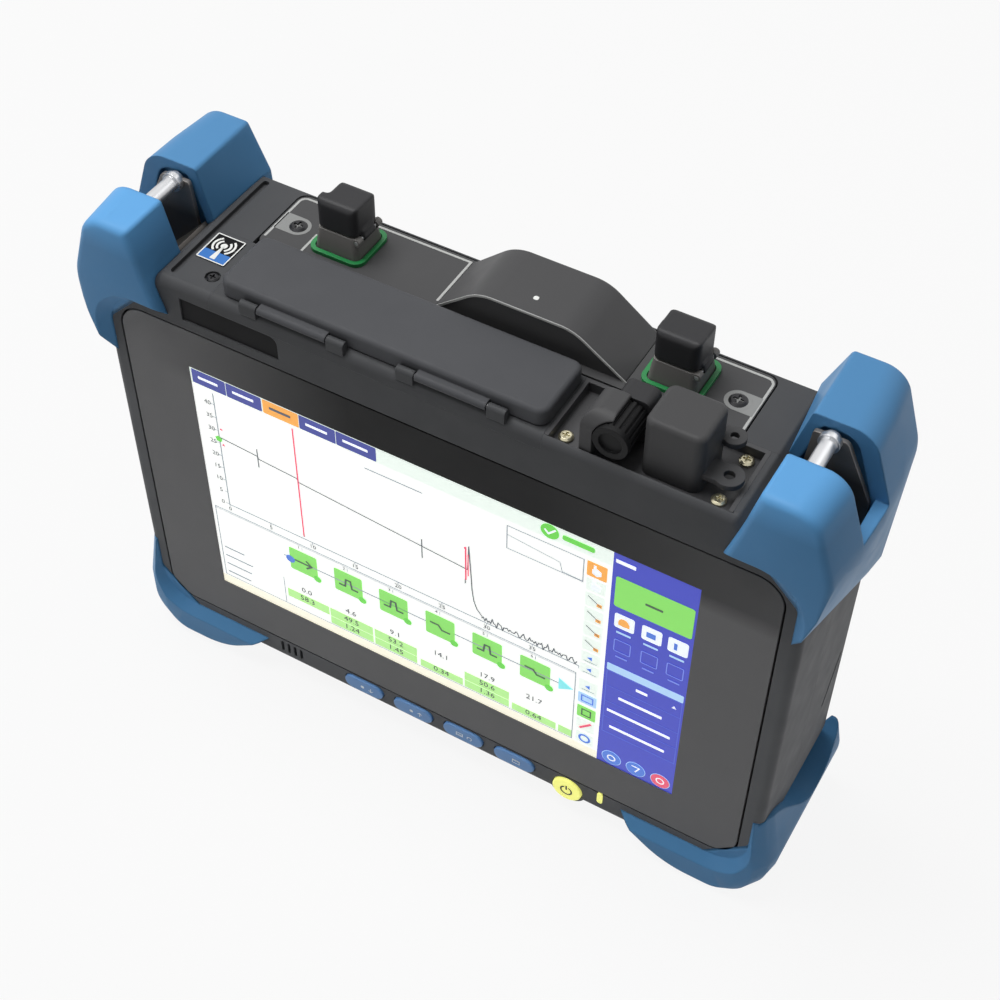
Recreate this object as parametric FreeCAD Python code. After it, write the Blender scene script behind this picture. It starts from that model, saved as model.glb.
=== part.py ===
"""Hand-held optical time domain reflectometer with a touch screen, corner bumpers and a test module.

Frame: millimetres, +X to the user's right, +Y from the screen towards the back, +Z up.
The origin is the middle of the footprint, on the plane that the two lower bumpers stand on.
"""
import FreeCAD, Part
import math
import os

V = FreeCAD.Vector

# ---- body -------------------------------------------------------------------
BODY_WIDTH = 206.0
BODY_HEIGHT = 146.5
BODY_DEPTH = 48.0
HALF = BODY_WIDTH / 2
WALL = 2.5
FRONT_WALL = 4.2            # carries the bezel, so it is thicker than the other walls
CORNER_CUT_TOP = 21.0       # 45 degree cut of the body under each upper bumper
CORNER_CUT_BOTTOM = 18.0
FRONT_ROUND = 2.6           # round along the front rim
BACK_ROUND = 0.8            # and along the back rim
SEAM_DEPTH = 23.5           # the two housings meet this far behind the front face

# ---- screen -----------------------------------------------------------------
SCREEN_WIDTH = 152.4        # 7 inch, 5:3
SCREEN_HEIGHT = 91.4
SCREEN_ABOVE_MIDDLE = 1.2   # screen centre above the middle of the bezel
BEZEL_FROM_SIDE = 6.0
BEZEL_FROM_UNDER = 9.9
BEZEL_FROM_DECK = 15.8
BEZEL_THICKNESS = 2.0
BEZEL_CORNER = 8.0
BEZEL_GAP = 0.6
SCREEN_SINK = 0.3           # screen face behind the bezel's face
LCD_THICKNESS = 5.0
LCD_BORDER = 3.0
NAMEPLATE_FROM_SIDE = 27.4  # bare field at the upper left of the front
NAMEPLATE_WIDTH = 30.4
NAMEPLATE_SINK = 0.5
GROOVE_FROM_CUT = 2.6       # groove in the deck, from the corner cut
GROOVE_WIDTH = 2.0
GROOVE_SINK = 1.2
GROOVE_FROM_RIM = 3.5
SLIT_TOP = (13.0, 3.1)      # side slit: below the screen centre and in front of the back, at its upper end
SLIT_BOTTOM = (30.0, 10.6)
SLIT_WIDTH = 1.3

# ---- corner bumpers ---------------------------------------------------------
FOOT_HEIGHT = 6.8           # lower bumpers below the body
BUMPER_SIDE = 5.0           # beyond the side walls
BUMPER_OVERHANG = 3.2       # in front of and behind the body
BUMPER_RISE = 14.0          # upper bumpers above the deck
BUMPER_REACH = 19.0         # along the deck, from the side wall
BUMPER_FLARE = 2.8          # its foot reaches this much further in at the back
BUMPER_TOP_FLAT = 15.6      # where the flat top starts, from the side wall
BUMPER_BULGE = 2.2          # side swells outwards at mid-depth
BUMPER_FRONT_REACH = 22.8   # across the front face, from the side wall
BUMPER_FRONT_ROUND = 2.0    # round of the upper bumpers' front rim
BUMPER_BACK_ROUND = 0.9
ROUND_STEPS = 3             # flats that make up such a round
BULGE_STEPS = 4
BUMPER_SHOULDER = 8.0       # round between the flat top and the side
TAIL_FRONT = 33.0           # upper bumper's lower end below the deck, at the front
TAIL_BACK = 66.0
TAIL_RISE = ((-3.0, 0.0), (0.4, 5.0), (3.0, 14.0), (5.4, 30.0))  # beyond the side wall, above the tip
WEB_DROP = 5.6              # top of the web across the strap opening, below the deck
WEB_THICKNESS = 4.2
SIDE_DRAFT = 3.0            # upper bumper's side leans in towards its lower end
BEZEL_CLEAR = 3.4           # frame left showing between bezel and bumper
LOBE_FRONT = 12.2           # depth of the front lobe behind the front face
STRAP_GAP = 14.6            # opening between the lobes
LOBE_WALL = 2.8
FOOT_FROM_LAMP = 3.9        # lower bumper's toe from the status lamp
FOOT_TIP_RISE = 8.0         # toe's tip above the body's underside
FOOT_FLAT_START = 25.4
FOOT_TOE_ROUND = 24.0       # where the toe's slope meets the underside
FOOT_CORNER = 17.0
FOOT_ROUND_SIDE = 9.0       # round where the front face turns to the side
FOOT_ROUND_UNDER = 2.0      # and to the underside
FOOT_BACK_ROUND = 1.4       # round of the lower bumpers' back rim
HEEL_FRONT = 31.0           # lower bumper's upper end above the underside, at the front
HEEL_SHELF = 28.5           # then a short shelf, a dip and a rise to the back
HEEL_DIP = 10.7
HEEL_BACK = 22.5
HEEL_DRAFT = 5.2            # lower bumper's side leans in towards its upper end
HEEL_BEND = 11.5            # where that lean starts, above the underside
HEEL_ROUND = 8.0            # round of that bend

# ---- strap bar and its bracket ----------------------------------------------
BAR_RADIUS = 2.1
BAR_FROM_SIDE = 9.8
BAR_ABOVE_DECK = 9.6
BAR_COLLAR = 0.7
BRACKET_SHEET = 1.2
EAR_PROUD = 1.8             # ear stands this far in front of the rear lobe
EAR_SHADOW = 2.0            # depth of the hollow behind the ear
EAR_INSET = 0.4             # ear's inner foot beyond the lobe's wall

# ---- port bay, its door and sockets -----------------------------------------
BAY_LEFT = -0.6408 * HALF   # the deck is shared out between bay and tray
BAY_RIGHT = 0.301 * HALF
BAY_WALL = 1.4
BAY_DEEP = 18.4
BAY_FLANGE = 4.4            # thickness of the insert's rim
SOCKET_SINK = 2.0           # socket plate below the deck
CARD_X = -0.4854 * HALF
NETWORK_X = -0.233 * HALF
USB_XS = (-0.0485 * HALF, 0.1019 * HALF)
HEADSET_FROM_USB = 10.5
DOOR_FROM_LEFT = 2.0        # door's ends from the bay's
DOOR_FROM_RIGHT = 0.4
DOOR_FRONT = 2.7            # behind the front face
DOOR_BACK = 23.2
DOOR_THICKNESS = 4.8
DOOR_GAP = 0.4
DOOR_CORNER = 3.0
DOOR_RIBS = 5
HINGE_BEHIND = 1.3          # hinge axis behind the front face
HINGE_ABOVE = 1.6           # and above the deck
HINGE_PIN_RADIUS = 0.6
HINGE_BARREL = 1.2
HINGE_RUNNING = 0.06        # radial clearance on the pin
KNUCKLE_LENGTH = 5.0
KNUCKLE_SHARES = (0.109, 0.386, 0.6, 0.872)  # of the door's length, from its left end
KNUCKLE_GAP = 0.4

# ---- test tray at the right of the deck -------------------------------------
TRAY_FROM_CUT = 1.6         # tray's right end from the corner cut
TRAY_SINK = 3.0
TRAY_FLOOR = 1.6
TRAY_WALL = 1.2
TRAY_LIP = 1.6              # thickness of the front wall left standing in front of the tray
TRAY_SCREW_HEAD = 1.9
TRAY_SCREW_SHANK = 1.0
TRAY_SCREW_INSETS = ((3.9, 5.6), (-4.8, 20.2), (-5.2, 5.6))  # from an end, and behind the front face

# ---- power meter port and its cap -------------------------------------------
METER_X = 0.608 * HALF
METER_BEHIND = 11.8
METER_CAP_WIDTH = 15.6
METER_CAP_DEPTH = 14.6
METER_CAP_HEIGHT = 17.6
METER_CAP_WALL = 1.5
METER_BARREL = 4.2
METER_BORE = 1.25

# ---- fault locator port, its hood and cap -----------------------------------
LOCATOR_X = 0.469 * HALF
LOCATOR_ABOVE = 5.6         # axis above the deck
LOCATOR_CAP_RADIUS = 4.7
LOCATOR_CAP_LENGTH = 11.0
LOCATOR_FRONT = 1.6
HOOD_WIDTH = 8.2
HOOD_WALL = 1.2
LOCATOR_RIBS = 18

# ---- test module ------------------------------------------------------------
MODULE_LEFT = -0.66 * HALF
MODULE_RIGHT = 0.699 * HALF
MODULE_BEHIND_SEAM = 0.6
MODULE_FROM_BACK = 1.3
MODULE_PLATE = 2.0
MODULE_CORNER = 3.0
MODULE_GAP = 0.4
MODULE_HEIGHT = 96.0
MODULE_CASE_BEHIND = 1.4    # sheet box behind the plate's front edge
MODULE_CASE_CLEAR = 0.5     # and in front of the stand's recess
MODULE_SHEET = 1.2
MODULE_SCREW_INSETS = (6.4, -5.7)  # from the plate's ends
MODULE_SCREW_BEHIND = 10.8  # behind the plate's front edge
MODULE_SCREW_RADIUS = 2.5
MODULE_SCREW_SHANK = 1.2
HUMP_FOOT_LEFT = -0.14 * HALF
HUMP_FOOT_RIGHT = 0.388 * HALF
HUMP_BEHIND = 2.6           # behind the plate's front edge
HUMP_FROM_BACK = 0.4
HUMP_HEIGHT = 10.1          # at its front
HUMP_RISE = 1.0             # more at its back
HUMP_SLOPE_LEFT = 12.6      # run of its left slope
HUMP_SLOPE_RIGHT = 15.0
HUMP_WALL = 1.8
HUMP_SOFT_EDGE = 1.0

# ---- optical ports and dust caps --------------------------------------------
PORT_XS = (-0.4505 * HALF, 0.4893 * HALF)
PORT_FROM_BACK = 10.7       # in front of the plate's back edge
PORT_BASE = 11.8
PORT_BASE_DEPTH = 11.0
PORT_BASE_FLARE = 0.9
PORT_BASE_HEIGHT = 7.2
PORT_STEM = 14.0            # length of the base below the deck
PORT_CLEAR = 0.2
PORT_SEAL_WIDTH = 1.2
PORT_SEAL_HEIGHT = 1.1
FERRULE_BORE = 1.25
CAP_WIDTH = 12.0
CAP_DEPTH = 10.8
CAP_HEIGHT = 9.0
CAP_BACK_FALL = 0.7
CAP_WALL = 1.3
CAP_NOTCH = 1.8
CAP_LUG = 2.0               # length of each lug on the base
CAP_GAP = 0.3
CAP_PIN_RADIUS = 0.55
CAP_PIN_BARREL = 1.1
CAP_PIN_OUT = 0.2           # hinge axis beyond the base's side
CAP_PIN_SHOW = 0.8          # bare pin between lug and knuckle

# ---- keys -------------------------------------------------------------------
KEY_ROW_ABOVE = 5.9         # above the underside
KEY_PITCH = 17.5
KEY_LENGTH = 13.6
KEY_HEIGHT = 5.6
KEY_COUNT = 4
KEY_PROUD = 0.8
KEY_TRAVEL = 0.6
KEY_GAP = 0.25
KEY_FLANGE = 0.8
POWER_FROM_KEYS = 17.85     # from the middle of the last key
POWER_DIAMETER = 9.4
POWER_ABOVE = 4.0           # above the underside, so its boss hangs below it
POWER_BOSS = 5.9            # radius
POWER_BOSS_DEPTH = 8.0
POWER_BOSS_TAPER = 4.0
LED_FROM_POWER = 10.6
LED_ABOVE_KEYS = 1.2
LED_WIDTH = 1.8
LED_HEIGHT = 5.0
MIC_SLOTS = 4
MIC_FROM_KEYS = 30.15       # from the middle of the first key
MIC_PITCH = 2.3
MIC_SLOT_WIDTH = 1.0
MIC_SLOT_HEIGHT = 4.6
KEY_STRIP_FLOOR = 1.2
SWITCH_DEPTH = 6.2          # switch domes behind the front face

# ---- inside and back --------------------------------------------------------
BOARD_SHEET = 1.6
BATTERY_WIDTH = 120.0
BATTERY_HEIGHT = 24.0
BATTERY_DEPTH = 15.0
COVER_MARGIN_SIDE = 8.0
COVER_MARGIN_TOP = 3.0
COVER_SHEET = 2.0
STAND_WIDTH = 80.0
STAND_ABOVE_COVER = 12.0
STAND_SHEET = 3.0
STAND_AXIS_BELOW_DECK = 31.0
STAND_PIN_RADIUS = 1.0
STAND_GAP = 0.4
STAND_CHEEK = 4.0           # solid beside the stand's recess that holds its pins
STAND_PIN_LENGTH = 7.0
BACK_SCREW_RADIUS = 2.4
BACK_SCREW_SHANK = 1.2
INLET_RADIUS = 4.0
VENT_SLOTS = 7
DECK_SCREW_OUT = 3.4        # beyond the bay
DECK_SCREW_BEHIND = 7.2
LABEL_WIDTH = 8.8           # aerial's label, beside the groove
LABEL_DEPTH = 10.4
LABEL_BEHIND = 11.6
LABEL_THICKNESS = 0.3
LABEL_FROM_GROOVE = 0.4
BACK_SCREW_FROM_SIDE = 17.0
BACK_SCREW_HEIGHTS = (-34.0, 14.0)  # above the screen centre

# ---- derived levels ---------------------------------------------------------
FRONT = -BODY_DEPTH / 2
BACK = BODY_DEPTH / 2
UNDER = FOOT_HEIGHT
DECK = UNDER + BODY_HEIGHT
SEAM = FRONT + SEAM_DEPTH
BEZEL_WIDTH = BODY_WIDTH - 2 * BEZEL_FROM_SIDE
BEZEL_TOP = DECK - BEZEL_FROM_DECK
BEZEL_BOTTOM = UNDER + BEZEL_FROM_UNDER
SCREEN_Z = (BEZEL_TOP + BEZEL_BOTTOM) / 2 + SCREEN_ABOVE_MIDDLE
BUMPER_FRONT = FRONT - BUMPER_OVERHANG
BUMPER_BACK = BACK + BUMPER_OVERHANG
BUMPER_TOP = DECK + BUMPER_RISE
BUMPER_EDGE = HALF + BUMPER_SIDE
LOBE_FRONT_END = FRONT + LOBE_FRONT
LOBE_BACK_START = LOBE_FRONT_END + STRAP_GAP
BAR_X = HALF - BAR_FROM_SIDE
BAR_Z = DECK + BAR_ABOVE_DECK
HINGE_Y = FRONT + HINGE_BEHIND
HINGE_Z = DECK + HINGE_ABOVE
DOOR_LEFT = BAY_LEFT + DOOR_FROM_LEFT
DOOR_RIGHT = BAY_RIGHT - DOOR_FROM_RIGHT
KNUCKLES = tuple(DOOR_LEFT + share * (DOOR_RIGHT - DOOR_LEFT) for share in KNUCKLE_SHARES)
DOOR_UNDER = DECK + DOOR_GAP
DOOR_TOP = DOOR_UNDER + DOOR_THICKNESS
TRAY_LEFT = BAY_RIGHT
TRAY_RIGHT = HALF - CORNER_CUT_TOP - TRAY_FROM_CUT
TRAY_SCREWS = tuple(((TRAY_LEFT if inset > 0 else TRAY_RIGHT) + inset, behind)
                    for inset, behind in TRAY_SCREW_INSETS)
TRAY_FACE = DECK - TRAY_SINK
TRAY_UNDER = TRAY_FACE - TRAY_FLOOR
BAY_FLANGE_UNDER = DECK - BAY_FLANGE
BAY_FLOOR = DECK - BAY_DEEP
SOCKET_PLATE = DECK - SOCKET_SINK
HEADSET_X = USB_XS[1] + HEADSET_FROM_USB
PORT_BOARD_TOP = BAY_FLOOR + BOARD_SHEET
GROOVE_X = GROOVE_FROM_CUT + CORNER_CUT_TOP - HALF
NAMEPLATE_LEFT = NAMEPLATE_FROM_SIDE - HALF
NAMEPLATE_RIGHT = NAMEPLATE_LEFT + NAMEPLATE_WIDTH
NAMEPLATE_BOTTOM = BEZEL_TOP + 3.6
NAMEPLATE_TOP = NAMEPLATE_BOTTOM + 7.6
LCD_WIDTH = SCREEN_WIDTH + 2 * LCD_BORDER
LCD_HEIGHT = SCREEN_HEIGHT + 2 * LCD_BORDER
EAR_FRONT = LOBE_BACK_START - EAR_PROUD
KEY_XS = tuple((index - (KEY_COUNT - 1) / 2) * KEY_PITCH for index in range(KEY_COUNT))
MIC_XS = tuple(KEY_XS[0] - MIC_FROM_KEYS + index * MIC_PITCH for index in range(MIC_SLOTS))
KEY_Z = UNDER + KEY_ROW_ABOVE
POWER_X = KEY_XS[-1] + POWER_FROM_KEYS
POWER_Z = UNDER + POWER_ABOVE
LED_X = POWER_X + LED_FROM_POWER
FOOT_REACH = HALF - (LED_X + LED_WIDTH / 2 + FOOT_FROM_LAMP)
LED_Z = KEY_Z + LED_ABOVE_KEYS
KEY_FACE = FRONT - KEY_PROUD
KEY_FLANGE_Y = FRONT + WALL + KEY_GAP
SWITCH_FACE = FRONT + SWITCH_DEPTH
LOCATOR_Z = DECK + LOCATOR_ABOVE
LOCATOR_BACK = FRONT + LOCATOR_FRONT + LOCATOR_CAP_LENGTH
PLATE_FRONT = SEAM + MODULE_BEHIND_SEAM
PLATE_BACK = BACK - MODULE_FROM_BACK
PORT_Y = PLATE_BACK - PORT_FROM_BACK
MODULE_SCREW_Y = PLATE_FRONT + MODULE_SCREW_BEHIND
MODULE_SCREW_XS = (MODULE_LEFT + MODULE_SCREW_INSETS[0], MODULE_RIGHT + MODULE_SCREW_INSETS[1])
MODULE_FLOOR = DECK - MODULE_HEIGHT
HUMP_FRONT = PLATE_FRONT + HUMP_BEHIND
HUMP_BACK = PLATE_BACK - HUMP_FROM_BACK
SEAL_X = PORT_BASE_FLARE + 0.2 + PORT_SEAL_WIDTH
CAP_AXIS_OUT = PORT_BASE / 2 + CAP_PIN_OUT
CAP_AXIS_Z = DECK + PORT_BASE_HEIGHT + CAP_GAP - CAP_PIN_BARREL
BOARD_Y = FRONT + 13.0
BATTERY_Z = UNDER + WALL + 2 + BATTERY_HEIGHT / 2
COVER_WIDTH = BATTERY_WIDTH + 2 * COVER_MARGIN_SIDE
COVER_HEIGHT = BATTERY_HEIGHT + 2 * COVER_MARGIN_TOP
COVER_BOSS_Y = BACK - WALL - 2.0
COVER_SCREW_XS = (-BATTERY_WIDTH / 2 - COVER_MARGIN_SIDE / 2, BATTERY_WIDTH / 2 + COVER_MARGIN_SIDE / 2)
BACK_SCREW_XS = (BACK_SCREW_FROM_SIDE - HALF, HALF - BACK_SCREW_FROM_SIDE)
BACK_SCREWS = tuple((x, SCREEN_Z + z) for x in BACK_SCREW_XS for z in BACK_SCREW_HEIGHTS)
STAND_AXIS_Z = DECK - STAND_AXIS_BELOW_DECK
STAND_BOTTOM = BATTERY_Z + COVER_HEIGHT / 2 + STAND_ABOVE_COVER
STAND_AXIS_Y = BACK - STAND_SHEET / 2 - 0.3
STAND_SEAT_Y = BACK - STAND_SHEET - 0.6
STAND_BOSS_Y = STAND_SEAT_Y - 2.0
CASE_FRONT = PLATE_FRONT + MODULE_CASE_BEHIND
CASE_BACK = STAND_BOSS_Y - MODULE_CASE_CLEAR
STAND_PIN_REACH = STAND_WIDTH / 2 + STAND_CHEEK - 0.6
INLET_Y = BACK - 12
INLET_Z = SCREEN_Z - 16


# ---- drawing tools ----------------------------------------------------------
def to_plane(view, u, v, w):
    """Point of a front ("XZ"), plan ("XY") or side ("YZ") view at depth w."""
    if view == "XZ":
        return V(u, w, v)
    if view == "XY":
        return V(u, v, w)
    return V(w, u, v)


def view_direction(view):
    return {"XZ": V(0, 1, 0), "XY": V(0, 0, 1), "YZ": V(1, 0, 0)}[view]


def corner_arc(before, corner, after, radius):
    """Start, middle and end of the arc that rounds one corner of an outline."""
    here = V(corner[0], corner[1], 0)
    back = (V(before[0], before[1], 0) - here).normalize()
    ahead = (V(after[0], after[1], 0) - here).normalize()
    half_angle = back.getAngle(ahead) / 2
    bisector = (back + ahead).normalize()
    reach = radius / math.tan(half_angle)
    bulge = radius / math.sin(half_angle) - radius
    return here + back * reach, here + bisector * bulge, here + ahead * reach


def outline(corners, view, depth):
    """Closed wire through (u, v) or (u, v, corner radius)."""
    edges = []
    starts = []
    ends = []
    arcs = []
    count = len(corners)
    for index, corner in enumerate(corners):
        radius = corner[2] if len(corner) > 2 else 0
        if radius > 0:
            first, middle, last = corner_arc(corners[index - 1], corner, corners[(index + 1) % count], radius)
        else:
            first = middle = last = V(corner[0], corner[1], 0)
        starts.append(first)
        arcs.append(middle)
        ends.append(last)
    for index in range(count):
        after = (index + 1) % count
        corners = (starts[index], arcs[index], ends[index], starts[after])
        placed = [to_plane(view, corner.x, corner.y, depth) for corner in corners]
        if placed[0].distanceToPoint(placed[2]) > 1e-6:
            edges.append(Part.Arc(placed[0], placed[1], placed[2]).toShape())
        if placed[2].distanceToPoint(placed[3]) > 1e-6:
            edges.append(Part.makeLine(placed[2], placed[3]))
    return Part.Wire(edges)


def prism(corners, view, start, end):
    """Solid with the given outline between two depths of a view."""
    face = Part.Face(outline(corners, view, start))
    return face.extrude(view_direction(view) * (end - start))


def loft(view, *sections):
    """Solid through outlines given as (corners, depth)."""
    return Part.makeLoft([outline(corners, view, depth) for corners, depth in sections], True, True)


def rectangle(u, v, radius=0):
    """Corners of a rectangle, u and v each (low, high), with rounded corners."""
    return [(u[0], v[0], radius), (u[1], v[0], radius), (u[1], v[1], radius), (u[0], v[1], radius)]


def around(centre, size):
    return centre - size / 2, centre + size / 2


def block(x, y, z):
    return Part.makeBox(x[1] - x[0], y[1] - y[0], z[1] - z[0], V(x[0], y[0], z[0]))


def rod(axis, first, second, radius, start, end):
    """Cylinder along an axis; first and second are its other two coordinates in X, Y, Z order."""
    origin = {"X": V(start, first, second), "Y": V(first, start, second), "Z": V(first, second, start)}[axis]
    direction = {"X": V(1, 0, 0), "Y": V(0, 1, 0), "Z": V(0, 0, 1)}[axis]
    return Part.makeCylinder(radius, end - start, origin, direction)


def join(first, *others):
    return first.fuse(list(others)).removeSplitter()


def less(first, *others):
    return first.cut(list(others))


def group(*solids):
    return Part.makeCompound(list(solids))


def mirrored(shape):
    return shape.mirror(V(0, 0, 0), V(1, 0, 0))


def softened(shape, radius, chosen):
    """Fillet the edges for which chosen(edge) holds."""
    edges = [edge for edge in shape.Edges if chosen(edge)]
    return shape.makeFillet(radius, edges)


def flat_at(edge, axis, place):
    """True for an edge that lies in one plane across an axis."""
    box = edge.BoundBox
    low, high = {"X": (box.XMin, box.XMax), "Y": (box.YMin, box.YMax), "Z": (box.ZMin, box.ZMax)}[axis]
    return abs(low - place) < 1e-4 and abs(high - place) < 1e-4


def cross_screw(x, y, z, head, shank, length, axis="Z"):
    """Pan-head screw with its head's underside at z, its cross recess and its shank below."""
    thick = head * 0.55
    rim = thick * 0.6
    body = join(Part.makeCylinder(head, rim), Part.makeCone(head, head * 0.72, thick - rim, V(0, 0, rim)),
                Part.makeCylinder(shank, length, V(0, 0, -length)))
    slot = head * 1.1
    wide = head * 0.28
    cross = join(block(around(0, slot), around(0, wide), (thick * 0.4, thick + 1)),
                 block(around(0, wide), around(0, slot), (thick * 0.4, thick + 1)))
    body = body.cut(cross)
    if axis == "Y":
        body.rotate(V(0, 0, 0), V(1, 0, 0), -90)
    body.translate(V(x, y, z))
    return body


# ---- housings ---------------------------------------------------------------
def body_outline(inset):
    """Front view of the body, an octagon, moved in by inset."""
    shrink = inset * (2 - math.sqrt(2))
    side = HALF - inset
    top = DECK - inset
    bottom = UNDER + inset
    high = CORNER_CUT_TOP - shrink
    low = CORNER_CUT_BOTTOM - shrink
    return [(side - low, bottom, 2), (side, bottom + low, 6), (side, top - high, 6), (side - high, top, 1),
            (high - side, top, 1), (-side, top - high, 6), (-side, bottom + low, 6), (low - side, bottom, 2)]


def body_envelope():
    """The closed outer form of both housings, which the bumpers wrap."""
    solid = prism(body_outline(0), "XZ", FRONT, BACK)
    solid = softened(solid, BACK_ROUND, lambda edge: flat_at(edge, "Y", BACK))
    return softened(solid, FRONT_ROUND, lambda edge: flat_at(edge, "Y", FRONT))


def bezel_outline(grow):
    """Bezel's front view, grown outwards."""
    return rectangle((-BEZEL_WIDTH / 2 - grow, BEZEL_WIDTH / 2 + grow),
                     (BEZEL_BOTTOM - grow, BEZEL_TOP + grow), BEZEL_CORNER + grow)


def pill(centre, length, height, start, end):
    """Pill-shaped solid along Y about a point of the front view."""
    radius = min(length, height) * 0.4999
    return prism(rectangle(around(centre[0], length), around(centre[1], height), radius), "XZ", start, end)


def front_openings():
    """Everything cut through or into the front wall."""
    through = (FRONT - 1, FRONT + FRONT_WALL + 1)
    cuts = [prism(bezel_outline(BEZEL_GAP), "XZ", FRONT - 1, FRONT + BEZEL_THICKNESS)]
    cuts.append(block(around(0, LCD_WIDTH), through, around(SCREEN_Z, LCD_HEIGHT)))
    for x in KEY_XS:
        cuts.append(pill((x, KEY_Z), KEY_LENGTH + 2 * KEY_GAP, KEY_HEIGHT + 2 * KEY_GAP, *through))
    cuts.append(rod("Y", POWER_X, POWER_Z, POWER_DIAMETER / 2 + KEY_GAP, *through))
    cuts.append(pill((LED_X, LED_Z), LED_WIDTH, LED_HEIGHT, *through))
    for x in MIC_XS:
        cuts.append(pill((x, KEY_Z), MIC_SLOT_WIDTH, MIC_SLOT_HEIGHT, *through))
    return cuts


def deck_groove():
    """Long shallow groove in the deck, outboard of the port bay."""
    return prism(rectangle((GROOVE_X - GROOVE_WIDTH / 2, GROOVE_X + GROOVE_WIDTH / 2),
                           (FRONT + GROOVE_FROM_RIM, BACK - GROOVE_FROM_RIM / 2), GROOVE_WIDTH * 0.45),
                 "XY", DECK - GROOVE_SINK, DECK + 1)


def nameplate_recess():
    """Shallow bare field at the upper left of the front face, one corner rounded."""
    return prism([(NAMEPLATE_LEFT, NAMEPLATE_BOTTOM), (NAMEPLATE_RIGHT, NAMEPLATE_BOTTOM),
                  (NAMEPLATE_RIGHT, NAMEPLATE_TOP, 2.4), (NAMEPLATE_LEFT, NAMEPLATE_TOP)],
                 "XZ", FRONT - 1, FRONT + NAMEPLATE_SINK)


def side_slits():
    """A slanted slit in each side wall, near the back rim."""
    half = SLIT_WIDTH / 2
    top, bottom = SCREEN_Z - SLIT_TOP[0], SCREEN_Z - SLIT_BOTTOM[0]
    back, front = BACK - SLIT_TOP[1], BACK - SLIT_BOTTOM[1]
    corners = [(back - half, top), (back + half, top), (front + half, bottom), (front - half, bottom)]
    right = prism(corners, "YZ", HALF - 2 * WALL, HALF + 1)
    return right, mirrored(right)


def power_boss():
    """Round collar under the power button, tapering into the underside."""
    collar = rod("Y", POWER_X, POWER_Z, POWER_BOSS, FRONT + 0.3, FRONT + POWER_BOSS_DEPTH)
    tail = Part.makeCone(POWER_BOSS, POWER_BOSS / 2, POWER_BOSS_TAPER,
                         V(POWER_X, FRONT + POWER_BOSS_DEPTH, POWER_Z),
                         V(0, 1, 0))
    return collar.fuse(tail).common(block((0, HALF), (FRONT, BACK), (0, UNDER + FRONT_ROUND)))


def front_housing(envelope):
    """Front shell: bezel seat, key strip, and the wells for the port bay and the test tray."""
    shell = envelope.common(block((-HALF - 1, HALF + 1), (FRONT - 1, SEAM), (0, DECK + 1)))
    shell = join(shell, power_boss())
    hollow = prism(body_outline(WALL), "XZ", FRONT + FRONT_WALL, SEAM + 1)
    strip = block(around(0, 2 * (HALF - CORNER_CUT_BOTTOM) - 6), (FRONT + WALL, FRONT + FRONT_WALL + 1),
                  (UNDER + KEY_STRIP_FLOOR, BEZEL_BOTTOM - 1.2))
    bay_flange = block((BAY_LEFT, BAY_RIGHT), (FRONT - 1, SEAM + 1), (BAY_FLANGE_UNDER, DECK + 1))
    bay_well = block((BAY_LEFT + BAY_WALL, BAY_RIGHT - BAY_WALL), (FRONT + FRONT_WALL, SEAM + 1),
                     (0, DECK + 1))
    bay_well = bay_well.common(block((-HALF, HALF), (FRONT, BACK), (BAY_FLOOR, DECK + 1)))
    tray = block((TRAY_LEFT, TRAY_RIGHT), (FRONT + TRAY_LIP, SEAM + 1), (TRAY_UNDER, DECK + 1))
    return less(shell, hollow, strip, nameplate_recess(), bay_flange, bay_well, tray, deck_groove(),
                *front_openings())


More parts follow.
